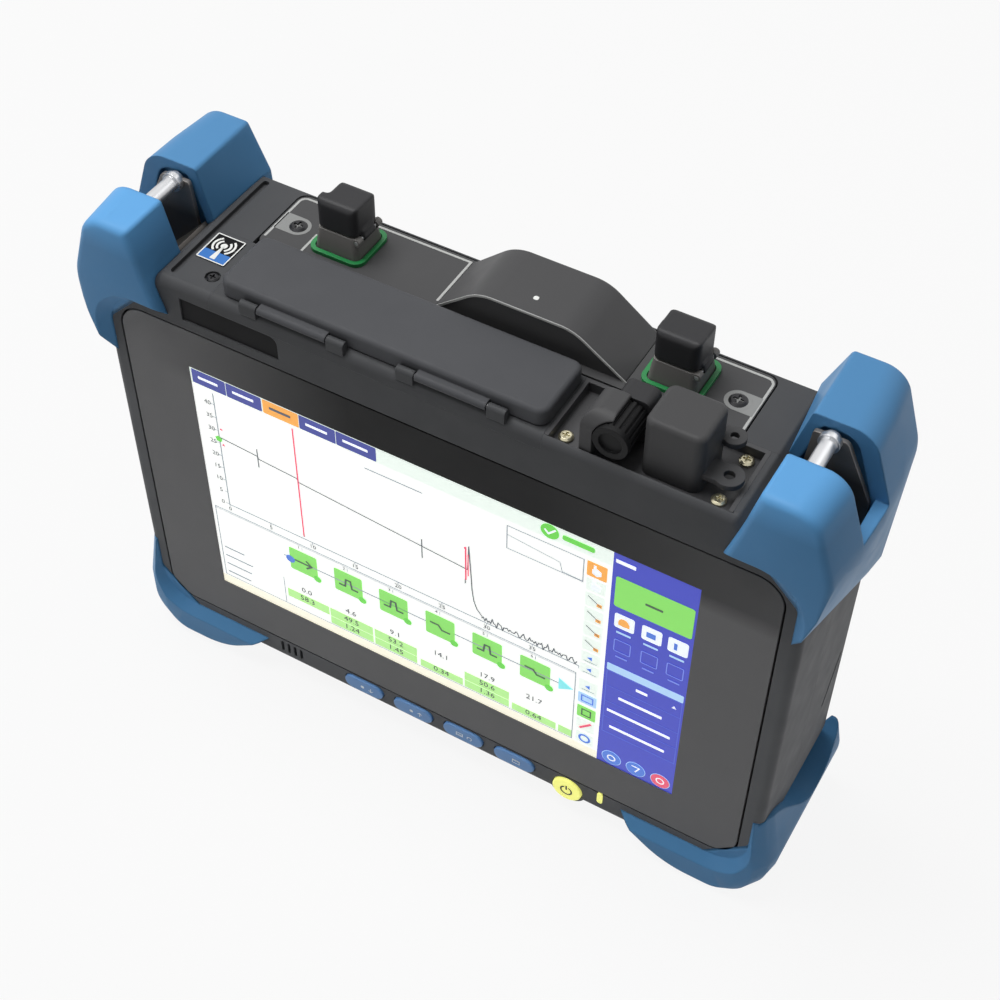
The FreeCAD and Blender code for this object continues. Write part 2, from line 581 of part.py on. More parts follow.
def rear_housing(envelope):
    """Back shell: module bay open at the deck, stand recess, battery opening and vents."""
    shell = envelope.common(block((-HALF - 1, HALF + 1), (SEAM, BACK + 1), (0, DECK + 1)))
    shell = shell.cut(prism(body_outline(WALL), "XZ", SEAM - 1, BACK - WALL))
    stand_boss = block(around(0, STAND_WIDTH + 2 * STAND_CHEEK), (STAND_BOSS_Y, BACK - WALL),
                       (STAND_BOTTOM - STAND_CHEEK, STAND_AXIS_Z + 2 * STAND_CHEEK))
    shelf = block((MODULE_LEFT + 4, MODULE_RIGHT - 4), (SEAM + 2, BACK - WALL),
                  (MODULE_FLOOR - WALL, MODULE_FLOOR))
    cover_boss = block(around(0, COVER_WIDTH + 6), (COVER_BOSS_Y, BACK - WALL),
                       around(BATTERY_Z, COVER_HEIGHT + 4))
    shell = join(shell, stand_boss, shelf, cover_boss)
    opening = rectangle((MODULE_LEFT - MODULE_GAP, MODULE_RIGHT + MODULE_GAP),
                        (SEAM - 5, PLATE_BACK + MODULE_GAP), MODULE_CORNER)
    plate = prism(opening, "XY", DECK - WALL - 1, DECK + 1)
    stand = block(around(0, STAND_WIDTH + 2 * STAND_GAP), (STAND_SEAT_Y, BACK + 1),
                  (STAND_BOTTOM - STAND_GAP, STAND_AXIS_Z + STAND_SHEET))
    scoop = block(around(0, STAND_WIDTH / 4), (STAND_SEAT_Y, BACK + 1), (STAND_BOTTOM - 5, STAND_BOTTOM))
    pins = rod("X", STAND_AXIS_Y, STAND_AXIS_Z, STAND_PIN_RADIUS, -STAND_PIN_REACH, STAND_PIN_REACH)
    lid = prism(rectangle(around(0, COVER_WIDTH), around(BATTERY_Z, COVER_HEIGHT), 3), "XZ",
                BACK - COVER_SHEET, BACK + 1)
    way_in = block(around(0, BATTERY_WIDTH + 1), (COVER_BOSS_Y - 1, BACK + 1),
                   around(BATTERY_Z, BATTERY_HEIGHT + 1))
    holes = [rod("Y", x, z, BACK_SCREW_SHANK, BACK - 3 * WALL, BACK + 1) for x, z in BACK_SCREWS]
    holes += [rod("Y", x, BATTERY_Z, BACK_SCREW_SHANK, BACK - 3 * WALL, BACK + 1) for x in COVER_SCREW_XS]
    inlet = rod("X", INLET_Y, INLET_Z, INLET_RADIUS, -HALF - 1, -HALF + WALL + 1)
    return less(shell, plate, stand, scoop, pins, lid, way_in, deck_groove(), inlet, *holes,
                *side_slits(), *back_vents())


def back_vents():
    """Row of slots high on the back, beside the stand."""
    cuts = []
    for side in (-1, 1):
        for index in range(VENT_SLOTS):
            x = side * (HALF - 42 + index * 3.4)
            cuts.append(pill((x, SCREEN_Z + 38), 1.6, 16.0, BACK - WALL - 1, BACK + 1))
    return cuts


# ---- corner bumpers, strap bars and brackets --------------------------------
def bezel_clearing():
    """Flared space kept open over the front face, and the same over the back."""
    flare = BUMPER_OVERHANG + 1
    front = loft("XZ", (bezel_outline(BEZEL_CLEAR + flare), FRONT - flare),
                 (bezel_outline(BEZEL_CLEAR), FRONT))
    back = loft("XZ", (bezel_outline(BEZEL_CLEAR), BACK), (bezel_outline(BEZEL_CLEAR + flare), BACK + flare))
    return front, back


def tail_cut():
    """Space below the slanted, rounded lower end of an upper bumper."""
    def section(drop):
        tip = DECK - drop
        rise = [(HALF + beyond, tip + above) for beyond, above in TAIL_RISE]
        inner = HALF - CORNER_CUT_TOP
        outer = rise[-1][0] + BUMPER_SIDE
        return [(inner, tip)] + rise + [(outer, rise[-1][1] + BUMPER_SIDE), (outer, -1), (inner, -1)]
    return loft("XZ", (section(TAIL_FRONT), BUMPER_FRONT - 1), (section(TAIL_BACK), BUMPER_BACK + 1))


def round_steps(radius):
    """Inset and depth of each step of a rim's round, from the face inwards."""
    angles = [index * math.pi / 2 / ROUND_STEPS for index in range(ROUND_STEPS + 1)]
    return [(radius * (1 - math.sin(angle)), radius * (1 - math.cos(angle))) for angle in angles]


def rimmed(profile, front_rounds, back_rounds, bulge):
    """Bumper block whose profile(side inset, end inset, depth) is drawn in round its front and back rims."""
    sections = []
    for (side, depth), (end, _) in zip(round_steps(front_rounds[0]), round_steps(front_rounds[1])):
        sections.append((side, end, BUMPER_FRONT + depth))
    start = BUMPER_FRONT + front_rounds[0]
    finish = BUMPER_BACK - back_rounds[0]
    for step in range(1, BULGE_STEPS if bulge > 0 else 1):
        share = step / BULGE_STEPS
        sections.append((-bulge * 4 * share * (1 - share), 0, start + share * (finish - start)))
    back_steps = list(zip(round_steps(back_rounds[0]), round_steps(back_rounds[1])))
    for (side, depth), (end, _) in reversed(back_steps):
        sections.append((side, end, BUMPER_BACK - depth))
    return loft("XZ", *[(profile(side, end, y), y) for side, end, y in sections])


def upper_profile(side, end, y):
    """Front view of an upper bumper's lobes at depth y, moved in by side at the side and by end on top."""
    flare = BUMPER_FLARE * max(0.0, y / BUMPER_BACK)
    top = BUMPER_TOP - end
    return [(HALF - BUMPER_FRONT_REACH + end, SCREEN_Z), (BUMPER_EDGE - SIDE_DRAFT - max(side, 0), SCREEN_Z),
            (BUMPER_EDGE - side, DECK - 7, 20), (HALF - 1.8 - 0.8 * side, top, BUMPER_SHOULDER - end),
            (HALF - BUMPER_TOP_FLAT + end, top, 1.2), (HALF - BUMPER_REACH + end - flare, DECK, 3),
            (HALF - BUMPER_FRONT_REACH + end, BEZEL_TOP + BEZEL_CLEAR)]


def strap_opening():
    """Gap between the lobes: open down to the body inside, with a low outer web left standing."""
    span = (LOBE_FRONT_END, LOBE_BACK_START)
    inner = HALF - CORNER_CUT_TOP - 9
    outer = BUMPER_EDGE + BUMPER_BULGE
    inside = block((inner, outer - WEB_THICKNESS), span, (DECK - CORNER_CUT_TOP, BUMPER_TOP + 1))
    above = block((inner, outer + 1), span, (DECK - WEB_DROP, BUMPER_TOP + 1))
    return join(inside, above)


def bracket_profile():
    """Ear of the strap bracket: follows the lobe inside and stands on the body's corner cut."""
    foot = HALF - BUMPER_REACH + LOBE_WALL + EAR_INSET
    chamfer_sum = HALF + DECK - CORNER_CUT_TOP
    outer = HALF + BUMPER_SIDE - LOBE_WALL
    return [(foot, chamfer_sum - foot), (HALF - 3, chamfer_sum - HALF + 3), (outer, DECK - 16),
            (outer, DECK - 6, 3), (HALF - 5.6, BUMPER_TOP - LOBE_WALL - 0.8, 2),
            (HALF - BUMPER_TOP_FLAT + LOBE_WALL - 1.6, BUMPER_TOP - LOBE_WALL - 0.8, 1)]


def strap_bracket():
    """Sheet-metal angle: an ear across the body and a foot along its corner cut."""
    ear = prism(bracket_profile(), "XZ", EAR_FRONT, EAR_FRONT + BRACKET_SHEET)
    rise = BRACKET_SHEET / math.sqrt(2)
    low = HALF - 4
    high = HALF - CORNER_CUT_TOP + 3
    chamfer_sum = HALF + DECK - CORNER_CUT_TOP
    slope = [(high, chamfer_sum - high), (low, chamfer_sum - low), (low + rise, chamfer_sum - low + rise),
             (high + rise, chamfer_sum - high + rise)]
    foot = prism(slope, "XZ", LOBE_FRONT_END - 6, EAR_FRONT + BRACKET_SHEET)
    hole = rod("Y", BAR_X, BAR_Z, BAR_RADIUS, EAR_FRONT - 1, EAR_FRONT + BRACKET_SHEET + 1)
    return join(ear, foot).cut(hole)


def strap_bar():
    """Pin that a shoulder strap's end loops round, with a collar against the ear."""
    bar = rod("Y", BAR_X, BAR_Z, BAR_RADIUS, LOBE_FRONT_END - 4, EAR_FRONT + BRACKET_SHEET)
    collar = rod("Y", BAR_X, BAR_Z, BAR_RADIUS + BAR_COLLAR, EAR_FRONT - 1.6, EAR_FRONT)
    return join(bar, collar)


def upper_bumper(envelope, bracket, bar):
    """Two rubber lobes joined at the side, with the strap opening between them."""
    solid = rimmed(upper_profile, (BUMPER_FRONT_ROUND, BUMPER_FRONT_ROUND),
                   (BUMPER_BACK_ROUND, BUMPER_BACK_ROUND),
                   BUMPER_BULGE)
    recess = prism(upper_profile(LOBE_WALL, LOBE_WALL, 0), "XZ", LOBE_BACK_START - 1,
                   LOBE_BACK_START + EAR_SHADOW)
    return less(solid, tail_cut(), *bezel_clearing(), strap_opening(), recess, envelope, bracket, bar)


def fitting_round(radius, before, corner, after, taken):
    """Radius of the round at a corner, no larger than leaves the length taken free on the way to after."""
    turn = math.atan2(after[1] - corner[1], after[0] - corner[0]) \
        - math.atan2(corner[1] - before[1], corner[0] - before[0])
    room = math.dist(corner, after) - taken
    return min(radius, room / math.tan(abs(turn) / 2))


def lower_profile(side, end, _):
    """Front view of a lower bumper, moved in by side at the side and by end below."""
    toe = (HALF - FOOT_REACH, UNDER + FOOT_TIP_RISE)
    flat = (HALF - FOOT_FLAT_START, end)
    edge = (BUMPER_EDGE - side, end)
    corner = FOOT_CORNER - side
    top = UNDER + HEEL_FRONT + 6
    inner = toe[0] + 12
    return [toe, flat + (fitting_round(FOOT_TOE_ROUND, toe, flat, edge, corner),), edge + (corner,),
            (edge[0], UNDER + HEEL_BEND, HEEL_ROUND), (edge[0] - HEEL_DRAFT, top), (inner, top),
            (inner, toe[1] + 3), (toe[0], toe[1] + 2)]


def lower_bumper(envelope):
    """Foot bumper: a toe along the underside and a swept upper end on the side wall."""
    solid = rimmed(lower_profile, (FOOT_ROUND_SIDE, FOOT_ROUND_UNDER), (FOOT_BACK_ROUND, FOOT_BACK_ROUND), 0)
    return less(solid, heel_cut(), *bezel_clearing(), envelope)


def heel_cut():
    """Space above the swept upper end of a lower bumper: shelf, dip and rise in side view."""
    places = ((BUMPER_FRONT - 1, HEEL_FRONT), (FRONT + 8, HEEL_SHELF), (BACK - 16, HEEL_DIP),
              (BACK - 6, HEEL_DIP + 2),
              (BUMPER_BACK + 1, HEEL_BACK))
    inner = HALF - FOOT_REACH - 2
    points = [V(inner, y, UNDER + height) for y, height in places]
    curve = Part.BSplineCurve()
    curve.interpolate(points)
    above = V(0, 0, 2 * HEEL_FRONT)
    edges = [curve.toShape(), Part.makeLine(points[-1], points[-1] + above),
             Part.makeLine(points[-1] + above, points[0] + above),
             Part.makeLine(points[0] + above, points[0])]
    return Part.Face(Part.Wire(edges)).extrude(V(FOOT_REACH + 4 * BUMPER_SIDE, 0, 0))


# ---- screen -----------------------------------------------------------------
def screen_window(start, end):
    return block(around(0, SCREEN_WIDTH), (start, end), around(SCREEN_Z, SCREEN_HEIGHT))


def screen_bezel():
    sheet = prism(bezel_outline(0), "XZ", FRONT, FRONT + BEZEL_THICKNESS)
    return sheet.cut(screen_window(FRONT - 1, FRONT + BEZEL_THICKNESS + 1))


def touch_screen():
    return screen_window(FRONT + SCREEN_SINK, FRONT + BEZEL_THICKNESS)


def lcd_module():
    """Display panel with its metal back tray and the folded edge round it."""
    start = FRONT + BEZEL_THICKNESS
    tray = block(around(0, LCD_WIDTH), (start, start + LCD_THICKNESS), around(SCREEN_Z, LCD_HEIGHT))
    dish = block(around(0, LCD_WIDTH - 8), (start + LCD_THICKNESS - 1, start + LCD_THICKNESS + 1),
                 around(SCREEN_Z, LCD_HEIGHT - 8))
    return tray.cut(dish)


# ---- port bay ---------------------------------------------------------------
def port_bay(envelope):
    """Insert that carries the sockets: front lip, hinge knuckles, socket plate and skirt."""
    flange = block((BAY_LEFT, BAY_RIGHT), (FRONT, SEAM), (BAY_FLANGE_UNDER, DECK))
    skirt = block((BAY_LEFT + BAY_WALL, BAY_RIGHT - BAY_WALL), (FRONT + FRONT_WALL, SEAM), (BAY_FLOOR, DECK))
    inside = block((BAY_LEFT + 2 * BAY_WALL, BAY_RIGHT - 2 * BAY_WALL),
                   (FRONT + FRONT_WALL + BAY_WALL, SEAM - BAY_WALL),
                   (BAY_FLOOR - 1, SOCKET_PLATE - BAY_WALL))
    recess = prism(rectangle((DOOR_LEFT + 2, DOOR_RIGHT - 2),
                             (FRONT + DOOR_FRONT + 2, FRONT + DOOR_BACK - 1), 2),
                   "XY", SOCKET_PLATE, DECK + 1)
    knuckles = []
    for x in KNUCKLES:
        knuckles.append(rod("X", HINGE_Y, HINGE_Z, HINGE_BARREL, x - KNUCKLE_LENGTH / 2,
                            x + KNUCKLE_LENGTH / 2))
        knuckles.append(block(around(x, KNUCKLE_LENGTH), around(HINGE_Y, 2 * HINGE_BARREL),
                              (DECK - 1, HINGE_Z)))
    body = join(flange.common(envelope), skirt, *knuckles)
    return less(body, inside, recess, door_pins(), *[socket[0] for socket in socket_envelopes()])


def door_pins():
    """Two pins, each through a pair of knuckles and the door barrel between them."""
    pins = []
    for left, right in (KNUCKLES[:2], KNUCKLES[2:]):
        reach = KNUCKLE_LENGTH / 2 - 0.8
        pins.append(rod("X", HINGE_Y, HINGE_Z, HINGE_PIN_RADIUS, left - reach, right + reach))
    return group(*pins)


def port_door():
    """Lid with rounded rim, two hinge barrels, stiffening ribs and a seal lip under it."""
    plan = rectangle((DOOR_LEFT, DOOR_RIGHT), (FRONT + DOOR_FRONT, FRONT + DOOR_BACK), DOOR_CORNER)
    slab = prism(plan, "XY", DOOR_UNDER, DOOR_TOP)
    slab = softened(slab, 1.4, lambda edge: flat_at(edge, "Z", DOOR_TOP))
    dish = prism(rectangle((DOOR_LEFT + 2, DOOR_RIGHT - 2), (FRONT + DOOR_FRONT + 2, FRONT + DOOR_BACK - 2),
                           1.5),
                 "XY", DOOR_UNDER - 1, DOOR_TOP - 1.8)
    lip_outer = prism(rectangle((DOOR_LEFT + 2.6, DOOR_RIGHT - 2.6),
                                (FRONT + DOOR_FRONT + 3.2, FRONT + DOOR_BACK - 2), 1.4),
                      "XY", DECK - 1.2, DOOR_TOP - 1.6)
    lip_inner = prism(rectangle((DOOR_LEFT + 4, DOOR_RIGHT - 4),
                                (FRONT + DOOR_FRONT + 4.6, FRONT + DOOR_BACK - 3.4), 0.8),
                      "XY", DECK - 2, DOOR_TOP)
    ribs = []
    for index in range(1, DOOR_RIBS + 1):
        x = DOOR_LEFT + index * (DOOR_RIGHT - DOOR_LEFT) / (DOOR_RIBS + 1)
        ribs.append(block(around(x, 1.2), (FRONT + DOOR_FRONT + 3, FRONT + DOOR_BACK - 2),
                          (DOOR_UNDER, DOOR_TOP - 1)))
    barrels = []
    for left, right in (KNUCKLES[:2], KNUCKLES[2:]):
        span = (left + KNUCKLE_LENGTH / 2 + KNUCKLE_GAP, right - KNUCKLE_LENGTH / 2 - KNUCKLE_GAP)
        barrels.append(rod("X", HINGE_Y, HINGE_Z, HINGE_BARREL, *span))
        barrels.append(block(span, (HINGE_Y, FRONT + DOOR_FRONT + 0.6),
                             (HINGE_Z - 0.2, HINGE_Z + HINGE_BARREL)))
    door = join(slab.cut(dish), lip_outer.cut(lip_inner), *ribs, *barrels)
    bore = rod("X", HINGE_Y, HINGE_Z, HINGE_PIN_RADIUS + HINGE_RUNNING, DOOR_LEFT, DOOR_RIGHT)
    return door.cut(bore)


def socket_envelopes():
    """Outer solid and inner cut of each socket, keyed by order: network, card, headset, two USB."""
    middle = FRONT + FRONT_WALL + (SEAM_DEPTH - FRONT_WALL) / 2
    deep = (PORT_BOARD_TOP, SOCKET_PLATE)
    network = block(around(NETWORK_X, 16), around(middle, 13.4), deep)
    card = block(around(CARD_X, 25), around(middle, 5.2), deep)
    headset = rod("Z", HEADSET_X, middle, 3.2, *deep)
    usb = [block(around(x, 13.2), around(middle, 5.8), deep) for x in USB_XS]
    network_cut = join(block(around(NETWORK_X, 11.8), around(middle - 0.6, 8.4),
                             (SOCKET_PLATE - 10.5, SOCKET_PLATE + 1)),
                       block(around(NETWORK_X, 4.2), around(middle + 4.4, 2.6),
                             (SOCKET_PLATE - 7, SOCKET_PLATE + 1)))
    card_cut = block(around(CARD_X, 22.4), around(middle, 2.4), (SOCKET_PLATE - 9, SOCKET_PLATE + 1))
    headset_cut = rod("Z", HEADSET_X, middle, 1.8, SOCKET_PLATE - 10, SOCKET_PLATE + 1)
    usb_cuts = [block(around(x, 12.4), around(middle, 5.0), (SOCKET_PLATE - 10, SOCKET_PLATE + 1)).cut(
        block(around(x, 11.0), around(middle - 0.8, 1.6),
              (SOCKET_PLATE - 11, SOCKET_PLATE - 0.6))) for x in USB_XS]
    return [(network, network_cut), (card, card_cut), (headset, headset_cut)] + list(zip(usb, usb_cuts))


def port_board():
    """Small circuit board that closes the bay below and carries the sockets."""
    return block((BAY_LEFT + 2 * BAY_WALL, BAY_RIGHT - 2 * BAY_WALL),
                 (FRONT + FRONT_WALL + BAY_WALL, SEAM - BAY_WALL),
                 (BAY_FLOOR, PORT_BOARD_TOP))


# ---- test tray --------------------------------------------------------------
def test_tray():
    """Sunken shelf at the right of the deck with a wall on three sides."""
    floor = block((TRAY_LEFT, TRAY_RIGHT), (FRONT + TRAY_LIP, SEAM), (TRAY_UNDER, TRAY_FACE))
    walls = [block((TRAY_LEFT, TRAY_LEFT + TRAY_WALL), (FRONT + TRAY_LIP, SEAM), (TRAY_FACE - 0.5, DECK)),
             block((TRAY_RIGHT - TRAY_WALL, TRAY_RIGHT), (FRONT + TRAY_LIP, SEAM), (TRAY_FACE - 0.5, DECK)),
             block((TRAY_LEFT, TRAY_RIGHT), (SEAM - TRAY_WALL, SEAM), (TRAY_FACE - 0.5, DECK))]
    holes = [rod("Z", x, FRONT + behind, TRAY_SCREW_SHANK, TRAY_UNDER - 1, TRAY_FACE + 1)
             for x, behind in TRAY_SCREWS]
    meter = rod("Z", METER_X, FRONT + METER_BEHIND, METER_BARREL, TRAY_UNDER - 1, TRAY_FACE + 1)
    return join(floor, *walls).cut(group(*holes, meter))


def tray_screws():
    return group(*[cross_screw(x, FRONT + behind, TRAY_FACE, TRAY_SCREW_HEAD, TRAY_SCREW_SHANK,
                               TRAY_FLOOR + 2)
                   for x, behind in TRAY_SCREWS])


def meter_port():
    """Power meter's receptacle: barrel through the tray, square flange and ferrule bore."""
    y = FRONT + METER_BEHIND
    barrel = rod("Z", METER_X, y, METER_BARREL, TRAY_UNDER - 6, TRAY_FACE + 10)
    flange = prism(rectangle(around(METER_X, 11), around(y, 10.4), 1.5), "XY", TRAY_FACE, TRAY_FACE + 1.6)
    ring = rod("Z", METER_X, y, METER_BARREL + 0.6, TRAY_FACE, TRAY_FACE + 5)
    socket = rod("Z", METER_X, y, METER_BARREL - 1, TRAY_FACE + 6, TRAY_FACE + 11)
    bore = rod("Z", METER_X, y, METER_BORE, TRAY_FACE - 4, TRAY_FACE + 11)
    return join(barrel, flange, ring).cut(group(socket)).cut(bore)


def meter_cap():
    """Hollow square cap over the power meter port, with a pull tab and a tether eye."""
    y = FRONT + METER_BEHIND
    low = TRAY_FACE + 0.2
    high = low + METER_CAP_HEIGHT
    plan = rectangle(around(METER_X, METER_CAP_WIDTH), around(y, METER_CAP_DEPTH), 2.6)
    shell = softened(prism(plan, "XY", low, high), 1.5, lambda edge: flat_at(edge, "Z", high))
    inside = rectangle(around(METER_X, METER_CAP_WIDTH - 2 * METER_CAP_WALL),
                       around(y, METER_CAP_DEPTH - 2 * METER_CAP_WALL), 1.4)
    hollow = prism(inside, "XY", low - 1, high - METER_CAP_WALL)
    side = METER_X + METER_CAP_WIDTH / 2
    tab = cap_ear(side, y + METER_CAP_DEPTH / 2 - 0.8, 2.0, 3.0, 1.1, DECK + 4.6)
    eye = cap_ear(side, y - 2.6, 5.2, 3.7, 1.4, DECK + 1.4)
    return less(join(shell, tab, eye), hollow)


def cap_ear(side, y, reach, radius, hole, z):
    """Flat ear with a hole, standing out of the cap's right side."""
    thick = 1.5
    disc = rod("Z", side + reach, y, radius, z, z + thick)
    neck = block((side - 1, side + reach), around(y, 1.7 * radius), (z, z + thick))
    return join(disc, neck).cut(rod("Z", side + reach, y, hole, z - 1, z + thick + 1))


def locator_port():
    """Turret of the visible fault locator, its barrel lying forwards."""
    turret = prism(rectangle(around(LOCATOR_X, 9.0), (TRAY_FACE, LOCATOR_Z + 5), 2.0), "XZ",
                   LOCATOR_BACK + 0.5, LOCATOR_BACK + 6.5)
    barrel = rod("Y", LOCATOR_X, LOCATOR_Z, LOCATOR_CAP_RADIUS - 1.7, LOCATOR_BACK - 8.5, LOCATOR_BACK + 1)
    bore = rod("Y", LOCATOR_X, LOCATOR_Z, METER_BORE, LOCATOR_BACK - 10, LOCATOR_BACK + 2)
    return join(turret, barrel).cut(bore)


def locator_cap():
    """Ribbed push-on cap, open behind and dished in front."""
    start = FRONT + LOCATOR_FRONT
    body = rod("Y", LOCATOR_X, LOCATOR_Z, LOCATOR_CAP_RADIUS - 0.5, start, LOCATOR_BACK)
    rim = rod("Y", LOCATOR_X, LOCATOR_Z, LOCATOR_CAP_RADIUS, start, start + 1.6)
    ribs = []
    for index in range(LOCATOR_RIBS):
        rib = block((LOCATOR_CAP_RADIUS - 1, LOCATOR_CAP_RADIUS), (start + 1, LOCATOR_BACK), around(0, 0.9))
        rib.rotate(V(0, 0, 0), V(0, 1, 0), index * 360 / LOCATOR_RIBS)
        rib.translate(V(LOCATOR_X, 0, LOCATOR_Z))
        ribs.append(rib)
    dish = rod("Y", LOCATOR_X, LOCATOR_Z, LOCATOR_CAP_RADIUS - 1.6, start - 1, start + 0.8)
    bore = rod("Y", LOCATOR_X, LOCATOR_Z, LOCATOR_CAP_RADIUS - 1.5, start + 2, LOCATOR_BACK + 1)
    return less(join(body, rim, *ribs), dish, bore)


def locator_hood():
    """Saddle that guards the cap's left side and curls over it."""
    right = LOCATOR_X - 0.6
    left = LOCATOR_X - HOOD_WIDTH
    top = LOCATOR_Z + LOCATOR_CAP_RADIUS + HOOD_WALL
    solid = prism([(left, TRAY_FACE), (right, TRAY_FACE), (right, top, 0.6), (left, top, 3.6)], "XZ",
                  FRONT + LOCATOR_FRONT + 0.4, LOCATOR_BACK + 0.5)
    solid = solid.common(prism([(FRONT + LOCATOR_FRONT + 0.4, TRAY_FACE), (LOCATOR_BACK + 0.5, TRAY_FACE),
                                (LOCATOR_BACK + 0.5, top), (FRONT + LOCATOR_FRONT + 0.4, top, 4.5)],
                               "YZ", left - 1, right + 1))
    bore = rod("Y", LOCATOR_X, LOCATOR_Z, LOCATOR_CAP_RADIUS + 0.3, FRONT, LOCATOR_BACK + 1)
    under = block((LOCATOR_X - LOCATOR_CAP_RADIUS - 0.3, right + 1), (FRONT, LOCATOR_BACK + 1),
                  (0, LOCATOR_Z))
    return less(solid, bore, under)


# ---- test module ------------------------------------------------------------
def port_plan(grow_x, grow_y, radius, x):
    """Plan of an optical port's base, grown to each side."""
    return rectangle(around(x, PORT_BASE + 2 * grow_x), around(PORT_Y, PORT_BASE_DEPTH + 2 * grow_y), radius)


def module_plate():
    """Top plate of the module with its port windows and screw seats."""
    plate = prism(rectangle((MODULE_LEFT, MODULE_RIGHT), (PLATE_FRONT, PLATE_BACK), MODULE_CORNER),
                  "XY", DECK - MODULE_PLATE, DECK)
    cuts = [prism(port_plan(0, 0, 1, x), "XY", DECK - MODULE_PLATE - 1, DECK + 1) for x in PORT_XS]
    for x in MODULE_SCREW_XS:
        cuts.append(rod("Z", x, MODULE_SCREW_Y, MODULE_SCREW_SHANK, DECK - MODULE_PLATE - 1, DECK + 1))
        cuts.append(rod("Z", x, MODULE_SCREW_Y, MODULE_SCREW_RADIUS + 0.4, DECK - 0.8, DECK + 1))
    return less(plate, *cuts)


def module_screws():
    return group(*[cross_screw(x, MODULE_SCREW_Y, DECK - 0.8, MODULE_SCREW_RADIUS, MODULE_SCREW_SHANK, 6)
                   for x in MODULE_SCREW_XS])


def module_case():
    """Folded sheet box that hangs below the plate, open where the ports pass."""
    x = (MODULE_LEFT + 2, MODULE_RIGHT - 2)
    y = (CASE_FRONT, CASE_BACK)
    z = (MODULE_FLOOR, DECK - MODULE_PLATE)
    outer = block(x, y, z)
    inner = block((x[0] + MODULE_SHEET, x[1] - MODULE_SHEET), (y[0] + MODULE_SHEET, y[1] - MODULE_SHEET),
                  (z[0] + MODULE_SHEET, z[1] - MODULE_SHEET))
    ports = [prism(port_plan(PORT_CLEAR, PORT_CLEAR, 1, px), "XY", DECK - PORT_STEM - PORT_CLEAR, z[1] + 1)
             for px in PORT_XS]
    screws = [rod("Z", sx, MODULE_SCREW_Y, MODULE_SCREW_SHANK, z[1] - 10, z[1] + 1) for sx in MODULE_SCREW_XS]
    slots = [block(around(-50 + 10 * index, 5), (y[0] - 1, y[0] + 2 * MODULE_SHEET), (z[0] + 20, z[0] + 22))
             for index in range(11)]
    return less(outer, inner, *ports, *screws, *slots)


def module_board():
    """Optical engine's circuit board on four pillars, with its laser block."""
    back = CASE_BACK - MODULE_SHEET
    board = block((MODULE_LEFT + 10, MODULE_RIGHT - 10), (back - 5, back - 5 + BOARD_SHEET),
                  (MODULE_FLOOR + 8, DECK - 20))
    pillars = [rod("Y", x, z, 2.0, back - 4, back) for x in (MODULE_LEFT + 16, MODULE_RIGHT - 16)
               for z in (MODULE_FLOOR + 14, DECK - 28)]
    laser = block((-20, 8), (back - 10, back - 5), (DECK - 62, DECK - 40))
    chips = [block(around(-50 + 22 * index, 12), (back - 6.6, back - 5),
                   (MODULE_FLOOR + 14, MODULE_FLOOR + 26))
             for index in range(5)]
    return join(board, laser, *pillars, *chips)


def hump_profile(inset, height):
    """Front view of the module's arched cover."""
    top = DECK + height - inset
    left = HUMP_FOOT_LEFT + inset * 1.4
    right = HUMP_FOOT_RIGHT - inset * 1.3
    return [(left, DECK), (right, DECK), (right - HUMP_SLOPE_RIGHT, top, 12),
            (left + HUMP_SLOPE_LEFT, top, 12)]


def module_hump():
    """Arched cover on the plate, closed at front and back and hollow below."""
    high = HUMP_HEIGHT + HUMP_RISE
    solid = loft("XZ", (hump_profile(0, HUMP_HEIGHT), HUMP_FRONT), (hump_profile(0, high), HUMP_BACK))
    solid = softened(solid, HUMP_SOFT_EDGE,
                     lambda edge: flat_at(edge, "Y", HUMP_BACK) and not flat_at(edge, "Z", DECK))
    hollow = loft("XZ", (hump_profile(HUMP_WALL, HUMP_HEIGHT), HUMP_FRONT + HUMP_WALL),
                  (hump_profile(HUMP_WALL, HUMP_HEIGHT), HUMP_BACK - HUMP_WALL))
    return solid.cut(hollow)


# ---- optical ports ----------------------------------------------------------
def port_seal(x):
    """Coloured frame round an optical port."""
    outer = prism(port_plan(SEAL_X, SEAL_X, 3.0, x), "XY", DECK, DECK + PORT_SEAL_HEIGHT)
    inner = prism(port_plan(SEAL_X - PORT_SEAL_WIDTH, SEAL_X - PORT_SEAL_WIDTH, 2.0, x), "XY", DECK - 1,
                  DECK + 3)
    return outer.cut(inner)


